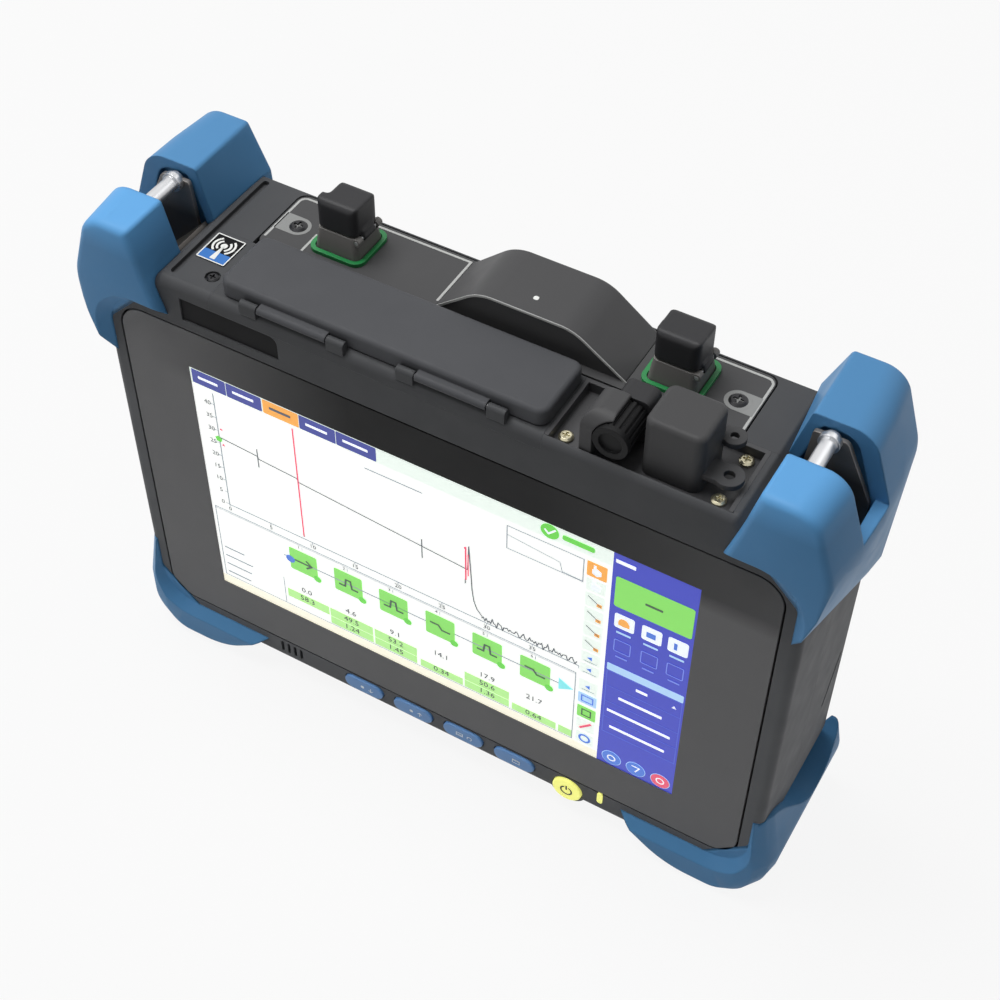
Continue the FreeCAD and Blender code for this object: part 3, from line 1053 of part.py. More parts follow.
def optical_port(x):
    """Connector base: flared block, hinge lugs, connector recess and ferrule sleeve."""
    y = PORT_Y
    top = DECK + PORT_BASE_HEIGHT
    below = prism(port_plan(0, 0, 1, x), "XY", DECK - PORT_STEM, DECK)
    flare = loft("XY", (port_plan(PORT_BASE_FLARE, PORT_BASE_FLARE, 1.5, x), DECK),
                 (port_plan(0, 0, 1.5, x), top))
    lugs = []
    for side in (-1, 1):
        place = around(y + side * (PORT_BASE_DEPTH - CAP_LUG) / 2, CAP_LUG)
        lugs.append(rod("Y", x + CAP_AXIS_OUT, CAP_AXIS_Z, CAP_PIN_BARREL, *place))
    notch = block((x + CAP_AXIS_OUT - CAP_PIN_BARREL - CAP_GAP, x + PORT_BASE),
                  around(y, PORT_BASE_DEPTH - 2 * CAP_LUG),
                  (CAP_AXIS_Z - CAP_PIN_BARREL - CAP_GAP, top + 1))
    recess = block(around(x, 7.4), around(y, 9.0), (top - 10, top + 1))
    sleeve = rod("Z", x, y, 2.0, top - 11, top - 1)
    bore = rod("Z", x, y, FERRULE_BORE, top - 12, top + 1)
    pin = rod("Y", x + CAP_AXIS_OUT, CAP_AXIS_Z, CAP_PIN_RADIUS, y - PORT_BASE_DEPTH / 2,
              y + PORT_BASE_DEPTH / 2)
    body = join(less(join(below, flare, *lugs), recess, notch), sleeve)
    return less(body, bore, pin)


def cap_pin(x):
    y = PORT_Y
    return rod("Y", x + CAP_AXIS_OUT, CAP_AXIS_Z, CAP_PIN_RADIUS, y - PORT_BASE_DEPTH / 2,
               y + PORT_BASE_DEPTH / 2)


def dust_cap(x, notched):
    """Flip cap over the port, its knuckle under the right edge; one cap has a thumb notch."""
    y = PORT_Y
    front = y - CAP_DEPTH / 2
    back = y + CAP_DEPTH / 2
    low = DECK + PORT_BASE_HEIGHT + CAP_GAP
    high = low + CAP_HEIGHT
    side_view = [(front, low), (back, low), (back, high - CAP_BACK_FALL, 2.2), (front, high, 1.6)]
    block_form = prism(side_view, "YZ", x - CAP_WIDTH / 2, x + CAP_WIDTH / 2)
    round_form = prism(rectangle(around(x, CAP_WIDTH), (front, back), 1.8), "XY", low - 1, high + 10)
    solid = block_form.common(round_form)
    if notched:
        solid = solid.cut(prism(rectangle((x - CAP_WIDTH, x - CAP_WIDTH / 2 + CAP_NOTCH),
                                          (front + CAP_DEPTH / 3,
                                           back + CAP_NOTCH), 0.8), "XY", low - 1, high + 10))
    knuckle_span = around(y, PORT_BASE_DEPTH - 2 * CAP_LUG - 2 * CAP_PIN_SHOW)
    knuckle = join(rod("Y", x + CAP_AXIS_OUT, CAP_AXIS_Z, CAP_PIN_BARREL, *knuckle_span),
                   block((x + CAP_AXIS_OUT - 0.6, x + CAP_AXIS_OUT + 0.6), knuckle_span,
                         (CAP_AXIS_Z, low + 1)))
    hollow = block(around(x, CAP_WIDTH - 2 * CAP_NOTCH - 1.2), (front + CAP_WALL, back - CAP_WALL),
                   (low - 1, low + CAP_HEIGHT / 2))
    bore = rod("Y", x + CAP_AXIS_OUT, CAP_AXIS_Z, CAP_PIN_RADIUS + HINGE_RUNNING, front - 1, back + 1)
    return less(join(solid, knuckle), hollow, bore)


# ---- keys -------------------------------------------------------------------
def push_key(x, z, length, height):
    """Key cap through the front wall, its retaining flange and the stem that works the switch."""
    cap = pill((x, z), length, height, KEY_FACE, KEY_FLANGE_Y + KEY_FLANGE)
    cap = softened(cap, 0.45, lambda edge: flat_at(edge, "Y", KEY_FACE))
    flange = block(around(x, length + 2.4), (KEY_FLANGE_Y, KEY_FLANGE_Y + KEY_FLANGE),
                   around(z, KEY_HEIGHT * 0.5))
    stem = block(around(x, 2.4), (KEY_FLANGE_Y, SWITCH_FACE - KEY_TRAVEL - 0.1), around(z, 2.0))
    return join(cap, flange, stem)


def status_led():
    return pill((LED_X, LED_Z), LED_WIDTH, LED_HEIGHT, FRONT - 0.2, FRONT + FRONT_WALL)


def key_board():
    """Switch board behind the key strip, one dome switch per key."""
    board = block((KEY_XS[0] - 12, LED_X + 6), (SWITCH_FACE + 0.8, SWITCH_FACE + 0.8 + BOARD_SHEET),
                  (UNDER + WALL, UNDER + WALL + 9))
    domes = [rod("Y", x, KEY_Z, 1.4, SWITCH_FACE, SWITCH_FACE + 1) for x in KEY_XS]
    domes.append(rod("Y", POWER_X, POWER_Z, 1.4, SWITCH_FACE, SWITCH_FACE + 1))
    return join(board, *domes)


def speaker():
    """Small loudspeaker behind the slots in the front wall."""
    middle = (MIC_XS[0] + MIC_XS[-1]) / 2
    case = prism(rectangle(around(middle, 13), (UNDER + WALL, BEZEL_BOTTOM - 1.4), 1), "XZ",
                 FRONT + FRONT_WALL,
                 FRONT + FRONT_WALL + 5)
    return case


# ---- inside -----------------------------------------------------------------
def main_board():
    """Processor board across the body with its shield cans and heat spreader."""
    board = block(around(0, 2 * (HALF - CORNER_CUT_BOTTOM - 4)), (BOARD_Y, BOARD_Y + BOARD_SHEET),
                  (UNDER + WALL, BAY_FLOOR - 6))
    cans = [block(around(x, w), (BOARD_Y + BOARD_SHEET, BOARD_Y + BOARD_SHEET + 3.2), around(z, h))
            for x, w, z, h in ((-48, 34, 62, 28), (4, 26, 70, 26), (48, 38, 56, 34), (-10, 60, 104, 18))]
    pitch = (HALF - CORNER_CUT_BOTTOM - 4) / 4.63
    chips = [block(around(pitch * index, 9), (BOARD_Y - 1.4, BOARD_Y), around(30, 9))
             for index in range(-4, 5)]
    return join(board, *cans, *chips)


def battery_pack():
    """Rounded pack of cells in line, in its shrink wrap."""
    y = (BACK - WALL - BATTERY_DEPTH, BACK - COVER_SHEET)
    return prism(rectangle(y, around(BATTERY_Z, BATTERY_HEIGHT), 5), "YZ", -BATTERY_WIDTH / 2,
                 BATTERY_WIDTH / 2)


def battery_cover():
    """Flush lid over the battery, with grip ribs and its two screw seats."""
    lid = prism(rectangle(around(0, COVER_WIDTH), around(BATTERY_Z, COVER_HEIGHT), 3), "XZ",
                BACK - COVER_SHEET, BACK)
    ribs = [block(around(-20 + 4 * index, 1.6), (BACK - 0.6, BACK + 1), around(BATTERY_Z, 14))
            for index in range(11)]
    holes = [rod("Y", x, BATTERY_Z, BACK_SCREW_SHANK, BACK - COVER_SHEET - 1, BACK + 1)
             for x in COVER_SCREW_XS]
    return less(lid, *ribs, *holes)


def back_screws(places, length):
    """Screws driven from behind, heads proud of the back."""
    return group(*[cross_screw(x, BACK, z, BACK_SCREW_RADIUS, BACK_SCREW_SHANK, length, "Y")
                   for x, z in places])


def kickstand():
    """Fold-out support: hinge barrel, window, ribs and a finger notch."""
    y = (BACK - 0.3 - STAND_SHEET, BACK - 0.3)
    plate = prism(rectangle(around(0, STAND_WIDTH), (STAND_BOTTOM, STAND_AXIS_Z), 4), "XZ", *y)
    barrel = rod("X", STAND_AXIS_Y, STAND_AXIS_Z, STAND_SHEET / 2, -STAND_WIDTH / 2, STAND_WIDTH / 2)
    top = block(around(0, STAND_WIDTH), y, (STAND_AXIS_Z - 8, STAND_AXIS_Z))
    window = prism(rectangle(around(0, STAND_WIDTH - 24), (STAND_BOTTOM + 14, STAND_AXIS_Z - 12), 5), "XZ",
                   y[0] - 1, y[1] + 1)
    thin = prism(rectangle(around(0, STAND_WIDTH - 8), (STAND_BOTTOM + 8, STAND_AXIS_Z - 8), 3), "XZ",
                 y[0] - 1, y[0] + 1)
    foot = stand_foot_form()
    bore = rod("X", STAND_AXIS_Y, STAND_AXIS_Z, STAND_PIN_RADIUS + HINGE_RUNNING, -STAND_WIDTH, STAND_WIDTH)
    return less(join(plate, barrel, top), window, thin, foot, bore)


def stand_foot_form():
    return prism(rectangle(around(0, STAND_WIDTH - 20), (STAND_BOTTOM + 1.5, STAND_BOTTOM + 6), 2), "XZ",
                 BACK - 0.3 - STAND_SHEET / 2, BACK - 0.3)


def stand_pins():
    return group(*[rod("X", STAND_AXIS_Y, STAND_AXIS_Z, STAND_PIN_RADIUS, start, start + STAND_PIN_LENGTH)
                   for start in (-STAND_PIN_REACH, STAND_PIN_REACH - STAND_PIN_LENGTH)])


def power_inlet():
    """Barrel socket in the left wall: sleeve, collar and centre pin."""
    sleeve = rod("X", INLET_Y, INLET_Z, INLET_RADIUS, -HALF + 0.2, -HALF + 11)
    hollow = rod("X", INLET_Y, INLET_Z, INLET_RADIUS - 1.2, -HALF - 1, -HALF + 9)
    pin = rod("X", INLET_Y, INLET_Z, 1.0, -HALF + 2, -HALF + 10)
    collar = rod("X", INLET_Y, INLET_Z, INLET_RADIUS + 1.5, -HALF + WALL, -HALF + WALL + 2)
    return join(join(sleeve, collar).cut(hollow), pin)


def deck_screw():
    return cross_screw(BAY_LEFT - DECK_SCREW_OUT, FRONT + DECK_SCREW_BEHIND, DECK - 0.8, 1.7, 0.9, 4)


def antenna_label():
    """Plain adhesive label on the deck over the radio aerial."""
    left = GROOVE_X + GROOVE_WIDTH / 2 + LABEL_FROM_GROOVE
    front = FRONT + LABEL_BEHIND
    return block((left, left + LABEL_WIDTH), (front, front + LABEL_DEPTH), (DECK, DECK + LABEL_THICKNESS))


def main():
    os.makedirs("parts", exist_ok=True)
    envelope = body_envelope()
    nodes = {}
    screw_x, screw_y = BAY_LEFT - DECK_SCREW_OUT, FRONT + DECK_SCREW_BEHIND
    screw_seat = group(rod("Z", screw_x, screw_y, 2.1, DECK - 0.8, DECK + 1),
                       rod("Z", screw_x, screw_y, 0.9, DECK - 6, DECK))
    nodes["front_housing"] = front_housing(envelope).cut(screw_seat)
    nodes["rear_housing"] = rear_housing(envelope)
    nodes["screen_bezel"] = screen_bezel()
    nodes["touch_screen"] = touch_screen()
    nodes["lcd_module"] = lcd_module()
    bracket = strap_bracket()
    bar = strap_bar()
    upper = upper_bumper(envelope, bracket, bar)
    lower = lower_bumper(envelope)
    for name, shape in (("strap_bracket", bracket), ("strap_bar", bar), ("upper_bumper", upper),
                        ("lower_bumper", lower)):
        nodes[name + "_right"] = shape
        nodes[name + "_left"] = mirrored(shape)
    nodes["port_bay"] = port_bay(envelope)
    nodes["door_hinge_pins"] = door_pins()
    nodes["port_door"] = port_door()
    nodes["port_board"] = port_board()
    sockets = [outer.cut(inner) for outer, inner in socket_envelopes()]
    nodes["network_jack"], nodes["card_slot"], nodes["headset_jack"] = sockets[:3]
    nodes["usb_ports"] = group(*sockets[3:])
    nodes["test_tray"] = test_tray()
    nodes["tray_screws"] = tray_screws()
    nodes["meter_port"] = meter_port()
    nodes["meter_cap"] = meter_cap()
    nodes["locator_port"] = locator_port()
    nodes["locator_cap"] = locator_cap()
    nodes["locator_hood"] = locator_hood()
    nodes["module_plate"] = module_plate()
    nodes["module_screws"] = module_screws()
    nodes["module_case"] = module_case()
    nodes["module_board"] = module_board()
    nodes["module_hump"] = module_hump()
    for side, x in zip(("left", "right"), PORT_XS):
        nodes["port_seal_" + side] = port_seal(x)
        nodes["optical_port_" + side] = optical_port(x)
        nodes["dust_cap_" + side] = dust_cap(x, side == "left")
    nodes["dust_cap_pins"] = group(*[cap_pin(x) for x in PORT_XS])
    for index, x in enumerate(KEY_XS):
        nodes["key_" + str(index + 1)] = push_key(x, KEY_Z, KEY_LENGTH, KEY_HEIGHT)
    nodes["power_button"] = push_key(POWER_X, POWER_Z, POWER_DIAMETER, POWER_DIAMETER)
    nodes["status_led"] = status_led()
    nodes["key_board"] = key_board()
    nodes["speaker"] = speaker()
    nodes["main_board"] = main_board()
    nodes["battery_pack"] = battery_pack()
    nodes["battery_cover"] = battery_cover()
    nodes["cover_screws"] = back_screws([(x, BATTERY_Z) for x in COVER_SCREW_XS], 6)
    nodes["housing_screws"] = back_screws(BACK_SCREWS, 7)
    nodes["kickstand"] = kickstand()
    nodes["stand_foot"] = stand_foot_form()
    nodes["stand_pins"] = stand_pins()
    nodes["power_inlet"] = power_inlet()
    nodes["deck_screw"] = deck_screw()
    nodes["antenna_label"] = antenna_label()
    for name, shape in nodes.items():
        if not shape.isValid():
            raise ValueError(name + " is not a valid solid")
        shape.exportStep(os.path.join("parts", name + ".step"))
        print(name, len(shape.Solids), round(shape.Volume))


if __name__ == "__main__":
    main()
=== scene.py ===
"""Looks of a handheld optical time domain reflectometer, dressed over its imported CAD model.

Lengths are written in millimetres in the fields of the classes and turned into metres where
Blender is given them. Every piece rides on the body that carries it.
"""

import logging
import math
from dataclasses import dataclass
from enum import Enum
from functools import partial
from typing import Iterable

import bpy
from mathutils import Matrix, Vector


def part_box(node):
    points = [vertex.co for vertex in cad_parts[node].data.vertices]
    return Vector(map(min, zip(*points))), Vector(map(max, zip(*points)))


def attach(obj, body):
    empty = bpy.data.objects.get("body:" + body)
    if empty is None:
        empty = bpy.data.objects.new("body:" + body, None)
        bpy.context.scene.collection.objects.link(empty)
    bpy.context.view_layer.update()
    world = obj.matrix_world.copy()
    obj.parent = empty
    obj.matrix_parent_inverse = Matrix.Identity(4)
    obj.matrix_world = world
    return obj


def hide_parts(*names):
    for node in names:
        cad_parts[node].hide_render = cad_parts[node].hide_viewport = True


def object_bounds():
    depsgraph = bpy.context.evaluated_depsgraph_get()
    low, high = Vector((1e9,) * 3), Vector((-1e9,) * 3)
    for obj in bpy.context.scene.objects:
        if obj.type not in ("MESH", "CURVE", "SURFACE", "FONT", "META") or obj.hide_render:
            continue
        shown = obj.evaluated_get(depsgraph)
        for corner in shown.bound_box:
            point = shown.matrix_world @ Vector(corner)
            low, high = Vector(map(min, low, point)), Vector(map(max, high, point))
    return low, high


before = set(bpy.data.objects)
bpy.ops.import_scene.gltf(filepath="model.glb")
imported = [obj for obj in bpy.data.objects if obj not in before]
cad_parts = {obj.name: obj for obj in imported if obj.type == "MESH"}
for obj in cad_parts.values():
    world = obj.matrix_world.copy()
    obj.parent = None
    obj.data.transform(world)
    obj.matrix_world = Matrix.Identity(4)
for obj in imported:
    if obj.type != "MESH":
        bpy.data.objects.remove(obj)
CAD_BOX = [list(corner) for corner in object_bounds()]

log = logging.getLogger("reflectometer")
MM = 0.001
CHASSIS = "chassis"
WHITE = (1, 1, 1, 1)

Point = tuple[float, float]
Place = tuple[float, float, float]
Colour = tuple[float, float, float, float]
Socket = bpy.types.NodeSocket
Piece = bpy.types.Object


def linear(code: str, gain: float = 1.0) -> Colour:
    """Turns a six-digit colour code into the linear colour that a shader takes.

    Args:
        code: red, green and blue as hexadecimal pairs.
        gain: factor by which the linear colour is lightened or darkened.

    Returns:
        Linear red, green and blue, with an alpha of one.
    """
    channels = []
    for start in (0, 2, 4):
        value = int(code[start : start + 2], 16) / 255
        value = value / 12.92 if value <= 0.04045 else ((value + 0.055) / 1.055) ** 2.4
        channels.append(min(1.0, value * gain))
    return channels[0], channels[1], channels[2], 1.0


# ---- Finishes ----


COLOUR_MIX = (0, 6, 7)  # a mix node's inputs for its share and its two colours


class Wiring:
    """Adds nodes to a node tree and joins them."""

    def __init__(self, owner: bpy.types.ID) -> None:
        """Turns the nodes of a material or a world on and takes up its tree."""
        owner.use_nodes = True
        self.tree = owner.node_tree

    def node(self, kind: str, **values: object) -> bpy.types.Node:
        """Adds a node.

        Args:
            kind: its type, without the leading ShaderNode.
            values: settings of the node by name, or inputs by name with an underscore for each space.

        Returns:
            The new node.
        """
        new = self.tree.nodes.new(f"ShaderNode{kind}")
        for name, value in values.items():
            if name.islower():
                setattr(new, name, value)
            else:
                self.feed(new.inputs[name.replace("_", " ")], value)
        return new

    def feed(self, socket: Socket, value: object) -> None:
        """Gives a socket its value.

        Args:
            socket: the input.
            value: an output to join it to, or the value itself.
        """
        if isinstance(value, Socket):
            self.tree.links.new(value, socket)
        else:
            socket.default_value = value

    def maths(self, kind: str, operation: str, first: Socket, second: object) -> bpy.types.NodeOutputs:
        """Adds a calculation with two values or vectors.

        Args:
            kind: Math or VectorMath.
            operation: what it does with the two.
            first: left operand.
            second: right operand.

        Returns:
            The outputs of the new node.
        """
        new = self.node(kind, operation=operation)
        self.feed(new.inputs[0], first)
        self.feed(new.inputs["Scale" if operation == "SCALE" else 1], second)
        return new.outputs

    def ranged(self, value: Socket, source: Point, target: Point) -> Socket:
        """Adds a map range that clamps, from the source's two ends to the target's."""
        ends = dict(From_Min=source[0], From_Max=source[1], To_Min=target[0], To_Max=target[1])
        return self.node("MapRange", Value=value, **ends).outputs["Result"]

    def noise(self, where: Socket, size: float, detail: float, stretch: Place = (1.0, 1.0, 1.0)) -> Socket:
        """Adds a noise, with patches of a size in millimetres that are stretched along each axis."""
        placed = self.node("Mapping", Scale=stretch, Vector=where).outputs["Vector"]
        return self.node("TexNoise", Scale=1 / (size * MM), Detail=detail, Vector=placed).outputs["Fac"]

    def blend(self, share: Socket, low: object, high: object) -> Socket:
        """Adds a mix of two colours.

        Args:
            share: how much of the second is taken.
            low: colour where the share is zero.
            high: colour where it is one.

        Returns:
            The mixed colour.
        """
        mix = self.node("Mix", data_type="RGBA")
        for index, value in zip(COLOUR_MIX, (share, low, high)):
            self.feed(mix.inputs[index], value)
        return mix.outputs[2]

    def seen_directly(self) -> Socket:
        """Adds a test of how a surface is seen.

        Returns:
            One where it is seen by the camera, in a gloss or through glass, and zero for all other light.
        """
        path = self.node("LightPath").outputs
        either = path["Is Camera Ray"]
        for name in ("Is Glossy Ray", "Is Transmission Ray"):
            either = self.maths("Math", "MAXIMUM", either, path[name])["Value"]
        return either

    def shown(self, usual: Socket, direct: Socket, share: Socket, output: str) -> None:
        """Shows one shader to most light and another to the share of it that sees the surface directly.

        Args:
            usual: shader that lights the object.
            direct: shader that is seen.
            share: how much of the second is taken.
            output: name of the tree's output node.
        """
        mix = self.node("MixShader")
        for socket, value in zip(mix.inputs, (share, usual, direct)):
            self.feed(socket, value)
        self.feed(self.tree.nodes[output].inputs["Surface"], mix.outputs[0])


CLOUD = 0.2  # size of the noise that breaks up wear and gloss, as a share of the colour's patches
RUB = 3  # how much further rubbed edges lighten for each step of wear
EDGE_TURN = (0.995, 0.88)  # cosines between a face and its rounded normal where rubbing starts and is full
EDGE_BREAKS = ((0.38, 0.62), (0.15, 1.0))  # the noise's range that breaks rubbing up, and what it leaves
SPREAD = 0.02  # least spread of a roughness to either side
SPREAD_GAIN = 0.05  # how much wider that spread is on a rough finish
COAT_ROUGHNESS = 0.12  # roughness of a clear coat


class Relief(Enum):
    """How the fine relief of a finish runs: its scale along each axis, and its strength."""

    SPARK = ((1.0, 1.0, 1.0), 0.3)
    BRUSHED_X = ((0.04, 1.0, 1.0), 0.3)
    BRUSHED_Y = ((1.0, 0.04, 1.0), 0.3)
    SMOOTH = ((1.0, 1.0, 1.0), 0.1)


@dataclass(frozen=True)
class Finish:
    """A surface finish and the procedural material that shows it."""

    name: str  # material name
    colour: str  # six-digit colour code
    roughness: float  # mean roughness
    metallic: float = 0.0  # share of metal in the shader
    mottle: float = 0.10  # how far soft patches lighten and darken the colour
    patch: float = 34.0  # size of those patches
    grain: float = 0.7  # size of the fine relief
    depth: float = 0.02  # depth of the fine relief
    wear: float = 0.25  # how far rubbed edges lighten
    edge: float = 0.35  # width of the rubbed and rounded edge
    specular: float = 0.5  # specular level
    coat: float = 0.0  # clear coat weight
    glow: float = 0.0  # strength of light given off in the finish's own colour
    relief: Relief = Relief.SPARK  # how the fine relief runs
    # runs along an axis, each with its start and end in millimetres, that together tint the colour with
    # painted light or shade
    fades: tuple[tuple[int, float, float], ...] = ()
    tint: float = 1.0  # factor on the colour where all the runs have ended

    def material(self) -> bpy.types.Material:
        """Returns the finish's material, which is made the first time it is asked for."""
        found = bpy.data.materials.get(self.name)
        return found if found else self._mixed()

    def _mixed(self) -> bpy.types.Material:
        """Mixes the finish from patches, grain, worn edges and uneven gloss.

        Returns:
            The new material.
        """
        material = bpy.data.materials.new(self.name)
        wiring = Wiring(material)
        material.diffuse_color = linear(self.colour)
        shader = wiring.tree.nodes["Principled BSDF"].inputs
        where = wiring.node("TexCoord").outputs["Object"]
        patches = wiring.noise(where, self.patch, 3.0)
        cloud = wiring.noise(where, self.patch * CLOUD, 5.0)
        rounded = wiring.node("Bevel", samples=3, Radius=self.edge * MM).outputs["Normal"]
        gains = (-self.mottle, self.mottle, RUB * self.wear)
        dark, pale, rubbed = (linear(self.colour, 1 + gain) for gain in gains)
        colour = wiring.blend(self._rubbed(wiring, rounded, cloud), wiring.blend(patches, dark, pale), rubbed)
        if self.fades:
            colour = self._painted_light(wiring, where, colour)
        looks = {
            "Base Color": colour, "Metallic": self.metallic, "Roughness": self._gloss(wiring, cloud),
            "Specular IOR Level": self.specular, "Coat Weight": self.coat, "Coat Roughness": COAT_ROUGHNESS,
            "Normal": self._bumped(wiring, where, rounded),
        }
        if self.glow:
            looks.update({"Emission Color": colour, "Emission Strength": self.glow})
        for name, value in looks.items():
            wiring.feed(shader[name], value)
        return material

    @staticmethod
    def _rubbed(wiring: Wiring, rounded: Socket, cloud: Socket) -> Socket:
        """Adds the mask of rubbed edges.

        Args:
            wiring: tree that takes it.
            rounded: the rounded normal, which differs from the face's own beside an edge.
            cloud: noise that breaks the rubbed line up.

        Returns:
            One where the finish is rubbed, and zero elsewhere.
        """
        face = wiring.node("NewGeometry").outputs["Normal"]
        turned = wiring.maths("VectorMath", "DOT_PRODUCT", rounded, face)["Value"]
        edge = wiring.ranged(turned, EDGE_TURN, (0.0, 1.0))
        return wiring.maths("Math", "MULTIPLY", edge, wiring.ranged(cloud, *EDGE_BREAKS))["Value"]

    def _painted_light(self, wiring: Wiring, where: Socket, colour: Socket) -> Socket:
        """Paints light or shade into a colour along the finish's runs.

        Args:
            wiring: tree that takes the nodes.
            where: coordinates that the runs follow.
            colour: colour before the tint.

        Returns:
            The tinted colour.
        """
        axes = wiring.node("SeparateXYZ", Vector=where).outputs
        share = None
        for axis, start, end in self.fades:
            run = wiring.ranged(axes[axis], (start * MM, end * MM), (0.0, 1.0))
            share = run if share is None else wiring.maths("Math", "MULTIPLY", share, run)["Value"]
        gain = wiring.ranged(share, (0.0, 1.0), (1.0, self.tint))
        return wiring.maths("VectorMath", "SCALE", colour, gain)["Vector"]

    def _gloss(self, wiring: Wiring, cloud: Socket) -> Socket:
        """Returns a roughness that wanders a little round its mean."""
        spread = SPREAD + SPREAD_GAIN * self.roughness
        return wiring.ranged(cloud, (0.3, 0.7), (self.roughness - spread, self.roughness + spread))

    def _bumped(self, wiring: Wiring, where: Socket, rounded: Socket) -> Socket:
        """Adds the fine relief on top of the rounded edges.

        Args:
            wiring: tree that takes it.
            where: coordinates that it reads.
            rounded: normal that it is laid over.

        Returns:
            The normal for the shader.
        """
        stretch, strength = self.relief.value
        grain = wiring.noise(where, self.grain, 2.0, stretch)
        return wiring.node("Bump", Strength=strength, Distance=self.depth * MM, Height=grain,
                           Normal=rounded).outputs["Normal"]


plastic = partial(Finish, mottle=0.05, grain=0.5, depth=0.02, wear=0.2, specular=0.2)
# painted light: the housing lightens towards the bottom, up to 1.75 times below 100 mm, a gradient of light
# down the front
HOUSING = plastic("housing_plastic", "414244", 0.6, grain=0.55, fades=((2, 132.0, 100.0),), tint=1.75)
DECK_INSERT = plastic("insert_plastic", "3e3f41", 0.6, grain=0.55)
# painted shade: the bezel's upper band above 117 mm is darkened, down to 0.14 of its colour in its middle
# between x -25 and 30 mm
PANEL = plastic("panel_plastic", "727273", 0.5, mottle=0.03, grain=0.45, depth=0.012, wear=0.12,
                specular=0.07, fades=((0, -92.0, -25.0), (0, 160.0, 30.0), (2, 117.0, 123.0)), tint=0.14)
DOOR = plastic("door_plastic_grained", "454649", 0.62, grain=0.6, depth=0.03, wear=0.16)
MODULE = plastic("module_plate_paint", "434344", 0.55, wear=0.14)
HUMP = plastic("hump_plastic", "424243", 0.46, mottle=0.04, depth=0.012, wear=0.12)
PORT = plastic("port_block_plastic", "6b6967", 0.45, grain=0.45, depth=0.012, wear=0.15, specular=0.3)
# dark film of the name field, and also the painted shadow laid in the gap round the bezel
DARK_PLATE_AND_SHADOW = plastic("dark_plate_film", "1f1f20", 0.55, depth=0.01, wear=0.1, edge=0.15, specular=0.05)
# painted highlight: the bumpers' front-lobe tops, in front of y -6 mm and above 158 mm, are lightened up to
# 1.5 times
RUBBER = plastic("bumper_blue_rubber", "4c81ae", 0.46, mottle=0.04, patch=60.0, depth=0.012, wear=0.05,
                 edge=0.8, specular=0.17, fades=((1, -6.0, -13.0), (2, 158.0, 166.0)), tint=1.5)

rubber = partial(Finish, mottle=0.06, grain=0.4, depth=0.015, wear=0.25)
CAP = rubber("cap_black_rubber", "252527", 0.5, edge=0.45, specular=0.25)
COVER = rubber("cover_grey_rubber", "3f3f40", 0.52, wear=0.2, edge=0.45, specular=0.2)
BLACK_CAP = rubber("cap_deep_black", "141415", 0.55, depth=0.01, wear=0.15, specular=0.15)
TRAY = rubber("tray_plastic", "303032", 0.55)
RUBBER_FOOT = Finish("foot_rubber", "252526", 0.7, grain=0.5, depth=0.03)

metal = partial(Finish, grain=0.25, depth=0.01, wear=0.3)
CHROME = metal("brushed_chrome", "cfd0d2", 0.3, metallic=0.85, depth=0.008, wear=0.05,
               relief=Relief.BRUSHED_Y)
# painted shade: the bracket darkens to 0.35 of its colour from 157 mm down to 152 mm, deep in the bumper's
# recess
BRACKET = metal("bracket_steel", "8a8580", 0.38, metallic=0.7, grain=0.3, patch=12.0, mottle=0.2,
                fades=((2, 157.0, 152.0),), tint=0.35)
SOCKET_METAL = metal("socket_tin_plate", "a9abad", 0.34, metallic=1.0, grain=0.3, depth=0.008, wear=0.1,
                     relief=Relief.BRUSHED_X)
GILT_SCREW = metal("gilt_screw", "c6bfa4", 0.28, metallic=0.9, edge=0.15)
DARK_SCREW = metal("black_screw", "2a2a2c", 0.4, metallic=0.6, wear=0.5, edge=0.15)
LCD_CAN = Finish("lcd_can_metal", "9a9c9e", 0.38, metallic=1.0, relief=Relief.BRUSHED_X, depth=0.006)

GLASS = Finish("screen_glass_dark", "17181a", 0.12, relief=Relief.SMOOTH, depth=0.002, wear=0.0, coat=0.6)
SEAL = Finish("port_green_frame", "12783c", 0.42, grain=0.4, depth=0.01, wear=0.3, edge=0.25)
KEY = Finish("key_blue_plastic", "5f8fc8", 0.42, mottle=0.04, grain=0.4, depth=0.008, wear=0.2, edge=0.3)
LAMP = Finish("lamp_yellow_plastic", "fbfb86", 0.4, mottle=0.04, grain=0.4, depth=0.006, wear=0.05, glow=0.45,
              edge=0.3)
BOARD = Finish("board_green_lacquer", "1f5d39", 0.35, grain=0.6, depth=0.01, coat=0.3)
WRAP = Finish("battery_wrap_film", "2c3f63", 0.4, grain=0.8, depth=0.01)

printed = partial(Finish, grain=0.4, depth=0.003, wear=0.1, edge=0.1)
LABEL = printed("label_black_film", "08080a", 0.5, mottle=0.04, grain=0.5, depth=0.004, specular=0.1)
LINE_GREY = printed("deck_print_grey", "a9aaa8", 0.55)
FIELD_GREY = printed("screw_field_grey", "7f807f", 0.55)
LINE_WHITE = printed("deck_print_white", "dfe0dd", 0.5)
LABEL_BLUE = printed("label_print_blue", "1f66b0", 0.45)
GLYPH = printed("key_print_pale", "e6eef8", 0.5, grain=0.3, edge=0.08)
GLYPH_DARK = printed("button_print_dark", "3d3f2f", 0.5, grain=0.3, edge=0.08)
FIGURE = printed("screen_figure_ink", "4b535b", 0.3, mottle=0.05, depth=0.002, wear=0.0, edge=0.02,
                 relief=Relief.SMOOTH)

